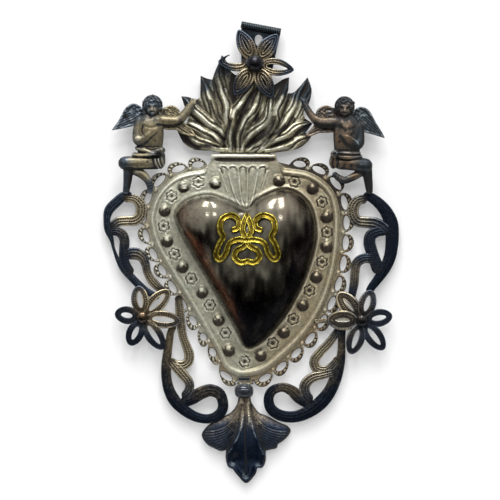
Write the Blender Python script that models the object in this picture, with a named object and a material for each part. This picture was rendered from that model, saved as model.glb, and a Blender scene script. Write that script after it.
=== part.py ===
"""Ex-voto heart: a hollow sheet-metal heart with lace, flames, cherubs, scrolls, flowers and a leaf.

The ornament is drawn lying on its back and then stood up against the wall. In the drawing X runs to the
right, Y up along the ornament and Z away from the wall. An empty turns the drawing upright, so that in
the finished model the wall face lies in the plane y = 0 and the front looks along -Y.
Outline points are written in millimetres on the drawing.
"""
import math

import bmesh
import bpy
import numpy as np
from mathutils import Vector

MM = 0.001

# Sheet metal and fits
SHEET = 0.8 * MM
SEAT_GAP = 0.3 * MM
MERGE = 0.001 * MM
LAYER_STEP = 0.02 * MM
CURVE_STEPS = 10
PIN_SIDES = 8
ROUND_SIDES = 12
ROUND_RINGS = 6

# Heart body
HEART_CENTRE = (0.0, 4.0 * MM)
HEART_STATIONS = 46
DOME_RISE = 15.5 * MM
DOME_WALL = 0.9 * MM
DOME_RINGS = 6
DOME_CROWN_SHARE = 0.3
DOME_CROWN_WIDTH = 27.0 * MM
DOME_CROWN_HEIGHT = 30.0 * MM
DOME_SEAT_WIDTH = 1.8 * MM
DOME_BEAD_OFFSET = 1.9 * MM
BEAD_WIDTH = 0.9 * MM
BEAD_RISE = 0.5 * MM
RIM_WIDTH = 1.6 * MM
RIM_RISE = 1.3 * MM
RIM_INSET = 2.0 * MM
STUD_RADIUS = 2.7 * MM
STUD_COUNT = 31
STUD_SIDES = 9
STUD_RINGS = 4
FIRST_STUD_DIRECTION = 118.0
LAST_STUD_DIRECTION = 63.0
FLOWERET_RADIUS = 3.0 * MM
FLOWERET_RISE = 0.6 * MM
FLOWERET_PETALS = 6
FLOWERET_NOTCH = 0.72
FLUTE_WIDTH = 4.2 * MM
FLUTE_RISE = 1.3 * MM
LIP_WIDTH = 2.6 * MM
LIP_RISE = 2.4 * MM

# Lace round the heart
LACE_LAP = 3.0 * MM
LACE_REACH = 6.9 * MM
LACE_DIP = 1.2 * MM
LACE_BAND = 2.3 * MM
LACE_INNER_BAND = 1.3 * MM
LACE_POST = 1.1 * MM
LOOP_NOTCH = 0.02
LOOP_SKEW = 1.25
LOOP_STEPS = 5
HOLE_SIDES = 8
SLOT_WIDTH = 6.0 * MM
SLOT_HEIGHT = 1.8 * MM
TAIL_REACH = 4.3 * MM
TAIL_WIDTH = 9.4 * MM

# Scrolls
SCROLL_CROWN = 0.8 * MM
SCROLL_STEP = 5.5 * MM

# Flowers
SIDE_PETAL_WIDTH = 8.0 * MM
SIDE_BAND = 2.3 * MM
SIDE_HUB_RADIUS = 4.2 * MM
SIDE_BALL_RADIUS = 2.3 * MM
TOP_PETAL_WIDTH = 8.6 * MM
TOP_BAND = 2.3 * MM
TOP_HUB_RADIUS = 6.2 * MM
TOP_BALL_RADIUS = 4.45 * MM
PETAL_THICKNESS = 0.9 * MM
PETAL_ARCH = 1.4 * MM
PETAL_STATIONS = 12
PETAL_ROOT_SHARE = 0.45
TOP_PETAL_POINT = 0.45
SHANK_RADIUS = 0.9 * MM
BALL_SEAT_ARCH = 0.35
BALL_SEAT_SHARE = 0.7
BAR_WIDTH = 2.6 * MM

# Flames
FLAME_STEP = 6.5 * MM
TOP_FLOWER_STAND = 1.6 * MM

# Hanging tab
ROLL_RADIUS = 1.75 * MM
NAIL_HOLE_WIDTH = 4.4 * MM
NAIL_HOLE_HEIGHT = 5.8 * MM
NAIL_HOLE_TAPER = 0.28
NAIL_HOLE_DROP = 6.0 * MM
NAIL_HOLE_SHIFT = 1.2 * MM

# Leaf and collar
LEAF_RISE = 4.0 * MM
COLLAR_WIDTH = 9.6 * MM
COLLAR_HEIGHT = 7.8 * MM
COLLAR_RISE = 4.6 * MM
STRAP_WIDTH = 7.0 * MM

# Gilt ornament
GILT_GAP = 0.5 * MM
GILT_THICKNESS = 1.1 * MM
GILT_WIDTH = 2.9 * MM
GILT_STEP = 3.7 * MM
GILT_LEVEL_STEP = 0.07 * MM
SLOPE_PROBE = 0.2 * MM
TANGENT_PROBE = 0.02

# Layers, measured from the wall
FIRST_FRONT = SHEET
SECOND_BACK = FIRST_FRONT + SEAT_GAP
SECOND_FRONT = SECOND_BACK + SHEET
SCROLL_FRONT = SECOND_FRONT + SCROLL_CROWN
THIRD_BACK = SCROLL_FRONT + SEAT_GAP
DOME_BACK = SECOND_FRONT + SEAT_GAP
BODY_BACK = THIRD_BACK + 0.4 * MM
TOP_FLOWER_BACK = SECOND_FRONT + TOP_FLOWER_STAND + SEAT_GAP

# Outline of the dome's foot, anticlockwise from the notch between the lobes
DOME_EDGE = (
    (0.3, 20.5), (-9.0, 24.3), (-18.6, 27.3), (-28.8, 25.0), (-34.8, 19.0), (-34.2, 13.0), (-27.0, -0.8),
    (-15.0, -21.2), (-4.6, -39.8), (-1.8, -46.2), (1.2, -48.8), (6.6, -46.4), (12.6, -41.0), (20.8, -30.4),
    (28.8, -15.2), (34.0, 1.6), (34.6, 12.0), (31.6, 22.6), (24.0, 29.2), (16.0, 29.8), (6.0, 25.2),
)

# Outer rim of the border, anticlockwise from the top
BORDER_RIM = (
    (0.0, 42.0), (-17.8, 40.6), (-33.7, 37.6), (-43.2, 30.0), (-47.4, 21.0), (-48.2, 13.5), (-44.4, 0.6),
    (-31.3, -21.7), (-15.4, -48.8), (-11.6, -57.6), (-6.6, -61.8), (-0.2, -63.2), (9.3, -60.8),
    (20.5, -52.0), (31.7, -40.0), (39.6, -26.5), (44.4, -12.1), (46.8, 3.8), (46.8, 19.8), (42.8, 30.9),
    (33.0, 38.4), (20.5, 40.9),
)

# Middles of the holes in the lace, anticlockwise from the top left
LACE_HOLES = (
    (-23.8, 42.2), (-33.0, 39.6), (-42.0, 33.7), (-47.9, 25.5), (-50.2, 16.6), (-49.3, 7.0), (-46.0, -2.0),
    (-41.2, -10.0), (-36.0, -18.0), (-31.0, -26.2), (-26.0, -34.6), (-21.0, -43.0), (-16.8, -52.0),
    (-9.8, -63.0), (9.4, -63.2), (17.4, -57.6), (24.6, -50.6), (31.2, -43.0), (37.0, -34.6), (41.6, -25.8),
    (45.0, -16.4), (47.6, -6.6), (49.2, 3.6), (49.6, 13.6), (48.2, 23.4), (43.8, 32.6), (36.0, 39.4),
    (26.9, 43.0),
)

NECK_OUTLINE = ((-17.6, 36.0), (-18.2, 44.0), (-16.8, 47.6), (14.8, 47.4), (16.0, 44.0), (15.6, 36.0))
LIP_LINE = ((-17.2, 46.2), (-1.0, 46.9), (15.0, 46.0))
FLUTE_TOPS = (-11.4, -6.3, -1.2, 3.9, 9.0)
FLUTE_HEAD = 41.6
FLUTE_FOOT = (0.4, 23.6)

# How a flute narrows: way down, then the shares of its spread, width and rise
FLUTE_TAPER = ((0.0, 1.0, 1.0, 1.0), (0.5, 0.5, 0.6, 0.75), (1.0, 0.12, 0.25, 0.3))

SLOT_MIDDLE = (-1.0, -64.6)

# Tongue of the lace behind the neck and the foot of the flames
LACE_TONGUE = ((12.0, 45.0), (12.0, 57.0), (-13.0, 57.0), (-13.0, 45.0))

# Ribbons of the scrolls: x, y and width along each middle line
UPPER_LEFT_RIBBONS = (
    ((-57.0, 27.6, 3.6), (-61.0, 27.0, 4.6), (-64.8, 23.9, 5.0), (-68.6, 20.0, 5.0), (-69.7, 15.0, 3.6),
     (-68.8, 10.0, 4.0), (-67.2, 5.0, 2.2), (-66.0, 0.0, 1.5), (-64.0, -5.0, 2.4), (-61.0, -9.5, 4.0),
     (-57.0, -14.0, 4.0), (-53.0, -18.0, 4.0), (-50.0, -20.5, 3.4), (-47.0, -21.8, 2.8)),
    ((-61.5, 26.0, 4.2), (-56.0, 25.6, 4.4), (-52.9, 22.8, 5.5), (-52.4, 19.6, 5.7), (-53.2, 16.6, 5.4),
     (-56.0, 14.7, 5.3), (-60.0, 14.5, 5.0), (-64.0, 14.0, 5.0), (-67.8, 11.0, 4.4)),
    ((-68.2, 9.0, 4.0), (-65.0, 9.4, 4.6), (-62.2, 8.0, 5.0), (-60.8, 5.0, 5.0), (-60.9, 1.0, 5.0),
     (-61.0, -3.0, 5.0), (-60.2, -7.0, 4.6), (-57.0, -12.0, 4.0)),
    ((-60.4, -3.0, 5.0), (-57.5, -1.9, 6.0), (-54.4, -2.0, 6.0), (-51.8, -3.7, 5.2), (-50.3, -7.0, 4.4),
     (-49.4, -11.0, 4.0), (-47.3, -15.0, 4.4), (-44.0, -18.5, 4.2), (-41.2, -20.6, 3.2)),
)
UPPER_RIGHT_RIBBONS = (
    ((58.6, 27.4, 4.0), (62.2, 26.4, 4.8), (66.0, 23.8, 5.0), (70.0, 19.5, 5.5), (72.8, 14.0, 6.0),
     (73.6, 8.0, 6.0), (73.4, 2.0, 5.6), (72.2, -4.0, 5.4), (69.6, -9.5, 5.0), (66.0, -14.5, 4.6),
     (62.6, -19.0, 4.0), (61.0, -22.0, 3.4)),
    ((60.6, 25.4, 4.4), (56.2, 24.8, 5.0), (53.7, 21.5, 5.8), (53.8, 17.4, 5.6), (56.0, 14.4, 5.5),
     (60.0, 13.8, 5.8), (64.5, 13.3, 6.0), (68.5, 11.0, 6.0), (71.2, 8.0, 5.2)),
    ((70.6, 9.5, 4.6), (66.2, 9.2, 5.0), (62.6, 7.4, 5.8), (61.7, 4.0, 6.0), (62.6, 0.0, 6.0),
     (64.0, -4.0, 6.0), (65.4, -8.0, 6.0), (65.6, -12.0, 5.0)),
    ((64.0, -4.6, 4.6), (59.0, -4.2, 5.0), (55.4, -6.6, 5.0), (54.5, -11.0, 4.5), (54.2, -16.0, 4.5),
     (53.0, -21.5, 3.6)),
)
LOWER_LEFT_RIBBONS = (
    ((-37.8, -40.0, 3.6), (-38.5, -46.0, 4.0), (-39.4, -52.0, 4.5), (-39.9, -58.0, 5.0), (-39.8, -64.0, 5.0),
     (-38.5, -70.0, 5.5), (-35.5, -75.5, 6.0), (-31.0, -80.0, 5.5), (-25.5, -83.3, 5.0), (-19.5, -84.5, 4.7),
     (-14.5, -83.0, 5.0), (-11.7, -79.5, 5.2), (-11.8, -75.0, 5.3), (-13.8, -71.6, 5.8), (-18.0, -70.2, 6.2),
     (-22.5, -71.6, 6.4), (-27.0, -74.2, 6.4), (-32.5, -76.5, 5.4)),
    ((-34.0, -24.0, 3.2), (-33.2, -30.0, 4.4), (-32.6, -37.0, 4.5), (-31.6, -43.0, 4.2), (-29.8, -48.0, 4.5),
     (-28.4, -52.5, 5.0), (-29.2, -56.2, 5.0), (-32.6, -57.8, 4.8), (-37.4, -56.4, 4.4)),
    ((-38.4, -54.6, 4.4), (-34.4, -59.2, 5.0), (-31.0, -63.0, 5.0), (-28.4, -66.5, 4.6), (-28.6, -70.0, 4.6),
     (-31.5, -74.0, 4.0)),
)
LOWER_RIGHT_RIBBONS = (
    ((47.6, -42.6, 3.8), (47.8, -50.0, 4.0), (47.0, -56.5, 5.0), (45.0, -63.5, 6.0), (42.0, -70.5, 6.4),
     (37.5, -76.2, 7.0), (31.5, -80.8, 6.4), (24.5, -83.4, 5.8), (17.5, -82.8, 5.6), (12.6, -79.5, 5.4),
     (11.3, -74.5, 5.0), (13.2, -70.4, 4.8), (18.0, -68.7, 4.6), (22.5, -70.2, 5.4), (26.5, -73.6, 6.4),
     (32.5, -77.0, 6.4)),
    ((45.4, -41.0, 3.8), (41.5, -46.5, 4.4), (37.2, -51.0, 4.5), (34.2, -55.4, 4.9), (35.3, -59.3, 4.9),
     (39.6, -60.2, 4.4), (43.3, -57.6, 3.8), (46.4, -53.6, 3.4)),
    ((45.0, -60.8, 4.0), (38.5, -62.5, 4.4), (33.2, -63.9, 5.0), (29.7, -67.2, 5.4), (29.6, -71.6, 5.2),
     (32.6, -76.0, 5.0)),
)

# Flowers: middle of the ball, then direction in degrees and length of each petal
LEFT_FLOWER = ((-51.6, -33.6), ((98, 16.0), (46, 19.0), (-6, 19.0), (-57, 19.0), (-115, 15.4), (172, 14.0)))
RIGHT_FLOWER = ((57.8, -35.2), ((130.6, 18.4), (72.5, 16.0), (9, 15.4), (-52.6, 18.3), (-108.7, 17.7),
                                (179, 17.4)))
TOP_FLOWER = ((4.4, 92.7), ((115.5, 19.0), (53, 18.8), (-8.5, 19.7), (-62.6, 18.9), (-123.5, 18.5),
                            (176, 18.3)))
BAR_ENDS = ((36.2, -36.0), (44.0, -36.0))

# Flames: outline of the plate, then tongues with x, y, width and height
FLAME_PLATE = (
    (-12.0, 48.6), (-19.0, 49.6), (-26.5, 50.4), (-31.2, 53.6), (-34.4, 59.6), (-30.0, 63.0), (-28.6, 68.0),
    (-30.4, 71.0), (-32.4, 76.8), (-29.4, 76.6), (-24.6, 75.2), (-22.9, 76.4), (-22.7, 87.2), (-19.6, 85.8),
    (-16.9, 85.2), (-15.6, 89.0), (-14.2, 92.4), (-12.0, 97.6), (-9.8, 94.4), (-6.0, 88.0), (4.6, 84.6),
    (12.0, 82.0), (18.6, 85.4), (21.6, 86.4), (21.2, 80.4), (20.6, 78.2), (24.6, 79.4), (30.8, 86.4),
    (32.8, 80.0), (31.4, 73.2), (28.8, 69.0), (29.4, 65.8), (33.4, 63.4), (29.6, 58.4), (33.2, 57.6),
    (30.4, 53.8), (25.0, 50.4), (14.0, 48.6),
)
FLAME_TONGUES = (
    ((-10.5, 50.4, 3.6, 1.4), (-18.0, 52.0, 6.0, 2.0), (-25.0, 54.0, 5.6, 1.0), (-31.0, 57.6, 4.0, 0.7),
     (-33.8, 60.0, 1.6, 0.3)),
    ((-9.8, 53.0, 4.0, 1.8), (-17.0, 57.0, 5.4, 2.6), (-24.0, 60.6, 4.8, 1.1), (-30.4, 64.4, 3.0, 0.6)),
    ((-9.4, 56.0, 4.0, 2.0), (-15.6, 61.6, 5.2, 3.0), (-22.0, 67.0, 5.4, 2.0), (-27.0, 71.8, 4.6, 0.9),
     (-31.7, 76.4, 1.4, 0.3)),
    ((-10.0, 58.0, 4.0, 2.4), (-14.0, 66.0, 5.4, 3.2), (-18.2, 75.0, 5.4, 2.4), (-21.0, 82.0, 3.6, 1.2),
     (-22.5, 86.8, 1.2, 0.3)),
    ((-8.6, 59.0, 4.0, 2.4), (-9.8, 68.0, 5.4, 3.0), (-12.0, 77.0, 5.4, 1.6), (-13.6, 87.0, 4.6, 1.0),
     (-12.2, 97.2, 1.2, 0.3)),
    ((-8.2, 50.4, 3.6, 2.0), (-8.4, 58.0, 4.6, 3.2), (-6.0, 67.0, 5.0, 2.8), (-0.6, 75.6, 4.8, 1.6),
     (3.8, 83.8, 1.8, 0.5)),
    ((-4.6, 50.4, 3.6, 2.0), (-3.4, 58.0, 5.0, 3.4), (1.6, 67.0, 5.0, 3.0), (5.4, 75.6, 4.4, 1.6),
     (7.4, 83.6, 1.6, 0.5)),
    ((-1.4, 50.4, 3.6, 2.0), (2.6, 57.2, 5.4, 3.4), (8.6, 62.6, 5.4, 3.2), (12.0, 70.0, 4.4, 2.4),
     (12.8, 77.4, 1.8, 0.8)),
    ((2.6, 50.4, 3.6, 2.0), (9.2, 56.4, 5.4, 3.2), (14.8, 62.6, 5.4, 3.0), (16.4, 71.0, 5.4, 2.2),
     (19.0, 79.0, 4.0, 1.2), (21.2, 85.8, 1.4, 0.3)),
    ((7.4, 50.4, 3.6, 1.8), (15.4, 57.4, 5.4, 3.0), (20.6, 65.0, 5.4, 2.4), (24.2, 74.0, 5.0, 0.9),
     (27.6, 81.0, 3.8, 0.8), (30.6, 86.0, 1.2, 0.3)),
    ((25.6, 68.0, 3.4, 0.7), (29.6, 75.4, 4.8, 0.9), (31.4, 81.0, 2.8, 0.6), (30.9, 85.6, 1.2, 0.3)),
    ((9.8, 51.6, 4.0, 1.6), (18.0, 56.6, 5.4, 2.6), (25.0, 60.8, 4.8, 1.0), (32.4, 63.4, 1.8, 0.5)),
    ((11.4, 50.2, 3.4, 1.4), (19.6, 52.0, 5.4, 2.0), (27.0, 54.8, 4.4, 0.9), (32.6, 57.4, 1.6, 0.3)),
)

# Tab: its outline starts with the two ends of the rolled top edge
TAB_OUTLINE = ((-2.4, 112.8), (17.4, 109.1), (15.4, 100.4), (13.6, 92.0), (11.6, 80.0), (-2.0, 80.0),
               (-2.4, 92.0))

# Leaf: left and right edge at each height, and how far its middle stands out there
LEAF_ROWS = (
    (-75.0, -3.6, 2.8, 0.0), (-78.0, -5.4, 3.8, 0.4), (-81.4, -7.7, 6.5, 0.9), (-83.0, -10.8, 10.3, 1.2),
    (-86.0, -16.5, 16.0, 1.8), (-88.6, -20.0, 21.0, 2.6), (-91.6, -22.2, 22.5, 3.2),
    (-94.8, -21.4, 19.9, 3.8), (-97.5, -19.2, 16.2, 4.0), (-99.6, -15.8, 15.0, 4.0),
    (-100.6, -11.4, 10.4, 4.0), (-104.0, -10.2, 9.9, 3.9), (-108.2, -9.4, 8.8, 3.4), (-109.8, -6.6, 5.9, 3.1),
    (-112.8, -4.3, 4.5, 2.2), (-115.4, -2.2, 2.2, 1.1), (-116.8, -0.5, 0.7, 0.4),
)
LEAF_COLUMNS = 8
LEAF_RIM_SHARE = 0.82
LEAF_RIBS = 2.0
LEAF_RIB_RISE = 0.5 * MM
COLLAR_MIDDLE = (-1.0, -70.5)

# Gilt ornament: middle lines on the right of its axis, which the left side mirrors
GILT_AXIS = 0.6
GILT_CURLS = (
    ((-1.2, -5.2), (3.2, -6.2), (6.0, -3.6), (5.0, -0.4), (1.8, 1.4), (-0.6, 4.0)),
    ((-1.6, 4.4), (4.0, 4.9), (8.6, 3.2), (10.2, -1.6), (13.2, -4.6), (15.0, -1.6), (13.8, 3.0), (12.0, 6.4),
     (13.6, 10.4), (12.6, 15.0), (8.2, 16.8), (4.4, 14.4), (4.8, 10.6), (8.0, 9.6)),
    ((0.0, 5.2), (2.2, 9.0), (1.6, 13.0), (-0.4, 17.4)),
)

# Cherubs: head, limbs as x, y, distance from the wall and radius, and the outlines of the wings
LEFT_CHERUB = {
    "head": ((-46.3, 71.8, 7.6, 4.4), (-46.3, 72.4, 7.6, 4.6)),
    "torso": ((-48.0, 50.6, 5.8, 6.8), (-47.8, 56.0, 6.4, 7.2), (-47.6, 61.0, 6.8, 7.0),
              (-47.0, 65.4, 6.6, 5.0)),
    "raised_arm": ((-43.4, 64.6, 6.6, 3.4), (-37.6, 64.2, 6.2, 3.0), (-33.4, 64.8, 5.9, 2.7),
                   (-30.4, 67.8, 5.6, 2.3), (-28.2, 71.0, 5.3, 2.0), (-26.4, 73.8, 5.1, 1.8)),
    "bent_arm": ((-52.6, 63.2, 7.2, 3.2), (-53.8, 58.0, 7.8, 3.1), (-53.0, 54.2, 8.4, 3.0),
                 (-49.6, 56.0, 9.2, 2.4), (-46.0, 58.8, 9.8, 2.0)),
    "thigh": ((-43.6, 43.4, 6.2, 3.6), (-51.0, 43.4, 6.8, 3.8), (-60.2, 43.4, 6.6, 3.6)),
    "shin": ((-58.4, 40.6, 5.8, 3.0), (-58.8, 36.0, 5.0, 2.8), (-59.3, 32.0, 4.6, 2.3),
             (-60.0, 28.8, 4.2, 2.0)),
    "far_leg": ((-55.4, 40.0, 5.6, 3.0), (-51.2, 37.0, 5.2, 2.7), (-48.6, 34.4, 4.8, 2.3),
                (-47.6, 31.4, 4.4, 1.9), (-47.8, 28.8, 4.2, 1.7)),
    "cloth": ((-54.6, 48.4, 7.0, 2.5), (-48.0, 48.0, 8.6, 2.9), (-41.8, 48.4, 7.0, 2.4)),
    "cloth_end": ((-42.4, 47.0, 6.4, 2.3), (-41.9, 43.6, 5.8, 2.1), (-41.6, 41.6, 5.2, 1.6)),
    "outer_wing": ((-67.0, 59.7), (-63.4, 64.6), (-60.4, 70.2), (-58.4, 72.2), (-56.0, 73.1), (-53.4, 72.2),
                   (-50.6, 69.4), (-49.0, 64.0), (-53.6, 62.6), (-57.0, 61.9), (-62.0, 60.6)),
    "inner_wing": ((-44.0, 62.0), (-42.4, 69.8), (-40.0, 71.4), (-37.0, 72.1), (-34.4, 71.0), (-32.6, 68.6),
                   (-31.0, 64.0), (-27.0, 60.2), (-24.6, 56.4), (-28.6, 57.0), (-32.4, 58.2), (-35.2, 59.8),
                   (-40.0, 60.0)),
}
RIGHT_CHERUB = {
    "head": ((49.0, 70.8, 7.6, 4.4), (49.0, 71.6, 7.6, 4.6)),
    "torso": ((50.2, 48.8, 5.8, 6.8), (50.4, 54.4, 6.4, 7.3), (50.2, 60.0, 6.8, 7.2),
              (49.6, 64.4, 6.6, 5.0)),
    "raised_arm": ((45.8, 63.6, 6.6, 3.3), (40.0, 63.2, 6.2, 2.9), (35.8, 64.0, 5.9, 2.6),
                   (32.8, 66.8, 5.6, 2.2), (30.4, 70.6, 5.3, 1.9), (28.8, 74.0, 5.1, 1.7)),
    "bent_arm": ((55.4, 61.0, 7.2, 3.2), (56.2, 56.2, 7.8, 3.1), (55.2, 52.6, 8.4, 3.0),
                 (51.8, 55.2, 9.2, 2.4), (48.6, 58.8, 9.8, 2.0)),
    "thigh": ((45.4, 43.0, 6.2, 3.6), (52.6, 43.0, 6.8, 3.8), (59.4, 42.2, 6.6, 3.6)),
    "shin": ((60.4, 40.0, 5.8, 3.0), (61.0, 35.8, 5.0, 2.7), (61.4, 32.0, 4.6, 2.2), (61.8, 28.8, 4.2, 1.9)),
    "far_leg": ((57.0, 39.6, 5.6, 3.0), (53.0, 37.2, 5.2, 2.7), (49.2, 35.0, 4.8, 2.3),
                (46.0, 35.8, 4.6, 2.0), (44.0, 37.6, 4.4, 1.7)),
    "cloth": ((44.4, 47.6, 6.8, 2.4), (50.0, 46.6, 8.6, 2.6), (56.4, 47.0, 7.0, 2.3)),
    "cloth_end": ((44.2, 46.6, 6.4, 2.3), (43.5, 44.0, 5.8, 2.0), (43.3, 43.0, 5.4, 1.6)),
    "outer_wing": ((69.2, 55.8), (67.8, 59.0), (64.8, 63.6), (62.4, 68.2), (60.4, 70.4), (58.0, 71.4),
                   (55.4, 70.8), (52.6, 68.0), (52.0, 62.0), (56.0, 60.2), (59.0, 58.8), (63.6, 57.5)),
    "inner_wing": ((46.4, 70.0), (42.2, 71.6), (39.6, 72.1), (36.9, 71.2), (35.2, 69.4), (34.2, 66.0),
                   (33.6, 62.0), (30.8, 58.6), (28.9, 56.7), (32.6, 56.9), (36.4, 58.3), (41.0, 58.5),
                   (47.0, 59.0)),
}
LIMB_SIDES = 7
LIMB_FLATNESS = 0.72
LIMB_END_REACH = 0.72
LIMB_END_SHARE = 0.6
LIMB_STEP = 5.6 * MM
WING_THICKNESS = 1.6 * MM

# Cross-sections of strips of sheet: across, on the front of the sheet or not, share of the crown's height
ARCHED_SECTION = ((-1, 0, 0), (-1, 1, 0), (-0.5, 1, 0.85), (0.5, 1, 0.85), (1, 1, 0), (1, 0, 0))
RIDGED_SECTION = ((-1, 0, 0), (-1, 1, 0), (0.1, 1, 1), (1, 1, 0), (1, 0, 0))

# Cross-sections of the gilt strips and of a flower's petal: across, share of the thickness
GILT_SECTION = ((-1, 0), (-1, 0.7), (0, 1), (1, 0.7), (1, 0))
PETAL_SECTION = ((-1, 0), (-1, 1), (1, 1), (1, 0))

# Colour, roughness and metallic value of each finish
FINISHES = {
    "grey_brass": ((0.36, 0.36, 0.29), 0.42, 0.9),
    "dark_dome": ((0.12, 0.09, 0.08), 0.22, 0.9),
    "olive_brass": ((0.30, 0.26, 0.16), 0.45, 0.9),
    "blue_black": ((0.03, 0.04, 0.06), 0.40, 0.85),
    "bronze": ((0.20, 0.16, 0.09), 0.42, 0.9),
    "gilt": ((0.62, 0.50, 0.10), 0.25, 1.0),
    "pale_brass": ((0.30, 0.29, 0.21), 0.45, 0.9),
    "dark_ball": ((0.05, 0.05, 0.05), 0.28, 0.9),
}


def clear_scene():
    """Takes the objects that are already there out of the scene."""
    for item in list(bpy.data.objects):
        bpy.data.objects.remove(item, do_unlink=True)


def on_drawing(points):
    """Points in millimetres on the drawing, in metres."""
    return np.array(points, float) * MM


def smooth(points, closed=False):
    """Catmull-Rom curve through points with any number of values each."""
    count = len(points)
    before = np.roll(points, 1, axis=0)
    after = np.roll(points, -1, axis=0)
    beyond = np.roll(points, -2, axis=0)
    if not closed:
        before[0] = 2 * points[0] - points[1]
        beyond[count - 2] = 2 * points[-1] - points[-2]
    result = []
    for index in range(count if closed else count - 1):
        a, b, c, d = before[index], points[index], after[index], beyond[index]
        for step in range(CURVE_STEPS):
            t = step / CURVE_STEPS
            result.append(0.5 * (2 * b + (c - a) * t + (2 * a - 5 * b + 4 * c - d) * t * t
                                 + (3 * b - a - 3 * c + d) * t ** 3))
    if not closed:
        result.append(points[-1])
    return np.array(result)


def evenly(curve, step, closed=False):
    """The same curve with stations at even distances of about one step."""
    if closed:
        curve = np.vstack([curve, curve[:1]])
    distance = np.concatenate([[0.0], np.cumsum(np.linalg.norm(np.diff(curve[:, :2], axis=0), axis=1))])
    count = max(2, round(distance[-1] / step))
    places = np.linspace(0.0, distance[-1], count + 1)
    if closed:
        places = places[:-1]
    columns = [np.interp(places, distance, column) for column in curve.T]
    return np.column_stack(columns)


def side_directions(line, closed=False):
    """Direction to the left of a line's travel at each of its stations."""
    if closed:
        ahead = np.roll(line[:, :2], -1, axis=0) - np.roll(line[:, :2], 1, axis=0)
    else:
        ahead = np.gradient(line[:, :2], axis=0)
    ahead /= np.linalg.norm(ahead, axis=1)[:, None]
    return np.column_stack([-ahead[:, 1], ahead[:, 0]])


def make_finish(name):
    """A metal finish with its colour, roughness and metallic value."""
    colour, roughness, metallic = FINISHES[name]
    material = bpy.data.materials.new(name)
    material.use_nodes = True
    shader = material.node_tree.nodes["Principled BSDF"]
    shader.inputs["Base Color"].default_value = (*colour, 1.0)
    shader.inputs["Roughness"].default_value = roughness
    shader.inputs["Metallic"].default_value = metallic
    material.diffuse_color = (*colour, 1.0)
    return material


def mesh_object(name, bm):
    """An object on the drawing from a finished bmesh."""
    bmesh.ops.recalc_face_normals(bm, faces=bm.faces)
    mesh = bpy.data.meshes.new(name)
    bm.to_mesh(mesh)
    bm.free()
    mesh.shade_smooth()
    mesh.set_sharp_from_angle(angle=math.radians(35))
    item = bpy.data.objects.new(name, mesh)
    bpy.context.scene.collection.objects.link(item)
    item.parent = drawing_board
    return item


def bent_grid(name, along, around, place, loop=False):
    """A grid bent into a solid: it closes round its section, and its ends are closed too."""
    bm = bmesh.new()
    bmesh.ops.create_grid(bm, x_segments=along, y_segments=around, size=0.5)
    for vert in bm.verts:
        station = round((vert.co.x + 0.5) * along)
        corner = round((vert.co.y + 0.5) * around) % around
        vert.co = place(station % along if loop else station, corner)
    bmesh.ops.remove_doubles(bm, verts=bm.verts, dist=MERGE)
    open_edges = [edge for edge in bm.edges if edge.is_boundary]
    bmesh.ops.holes_fill(bm, edges=open_edges, sides=0)
    return mesh_object(name, bm)


def cut_flat(bm, back):
    """Cuts away what lies behind a plane and closes the solid there."""
    geometry = bm.verts[:] + bm.edges[:] + bm.faces[:]
    bmesh.ops.bisect_plane(bm, geom=geometry, plane_co=(0, 0, back), plane_no=(0, 0, -1), clear_outer=True)
    bmesh.ops.holes_fill(bm, edges=[edge for edge in bm.edges if edge.is_boundary], sides=0)


def plate(name, outline, back, thickness, holes=()):
    """A flat plate cut to an outline, with holes, from a filled and extruded curve."""
    curve = bpy.data.curves.new(name, 'CURVE')
    curve.dimensions = '2D'
    curve.fill_mode = 'BOTH'
    curve.extrude = thickness / 2
    for ring in (outline, *holes):
        spline = curve.splines.new('POLY')
        spline.points.add(len(ring) - 1)
        for point, corner in zip(spline.points, ring):
            point.co = (corner[0], corner[1], 0.0, 1.0)
        spline.use_cyclic_u = True
    blank = bpy.data.objects.new(name, curve)
    bm = bmesh.new()
    bm.from_mesh(blank.to_mesh())
    bpy.data.objects.remove(blank)
    bmesh.ops.remove_doubles(bm, verts=bm.verts, dist=MERGE)
    bmesh.ops.translate(bm, verts=bm.verts, vec=(0.0, 0.0, back + thickness / 2))
    return mesh_object(name, bm)


def combine(name, finish, base, others, operation='UNION'):
    """Joins solids to the base, or cuts them out of it, with one Boolean."""
    group = bpy.data.collections.new(name + "_" + operation.lower())
    bpy.context.scene.collection.children.link(group)
    for item in others:
        bpy.context.scene.collection.objects.unlink(item)
        group.objects.link(item)
        item.hide_render = True
        item.display_type = 'WIRE'
    modifier = base.modifiers.new(operation.title(), 'BOOLEAN')
    modifier.operation = operation
    modifier.solver = 'EXACT'
    modifier.operand_type = 'COLLECTION'
    modifier.collection = group
    return finished(name, finish, base)


def finished(name, finish, item):
    """Gives a sub-part its name and finish."""
    item.name = name
    item.data.materials.clear()
    item.data.materials.append(materials[finish])
    return item


def ribbon(name, points, back, step, crown=None, loop=False):
    """A strip of sheet with a flat back and an arched front along a drawn middle line."""
    line = evenly(smooth(on_drawing(points), loop), step, loop)
    sides = side_directions(line, loop)
    section = RIDGED_SECTION if crown is None else ARCHED_SECTION

    def place(station, corner):
        across, sheet, arch = section[corner]
        rise = line[station][3] if crown is None else crown
        spot = line[station][:2] + sides[station] * across * line[station][2] / 2
        return Vector((spot[0], spot[1], back + SHEET * sheet + rise * arch))

    return bent_grid(name, len(line) if loop else len(line) - 1, len(section), place, loop)


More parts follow.
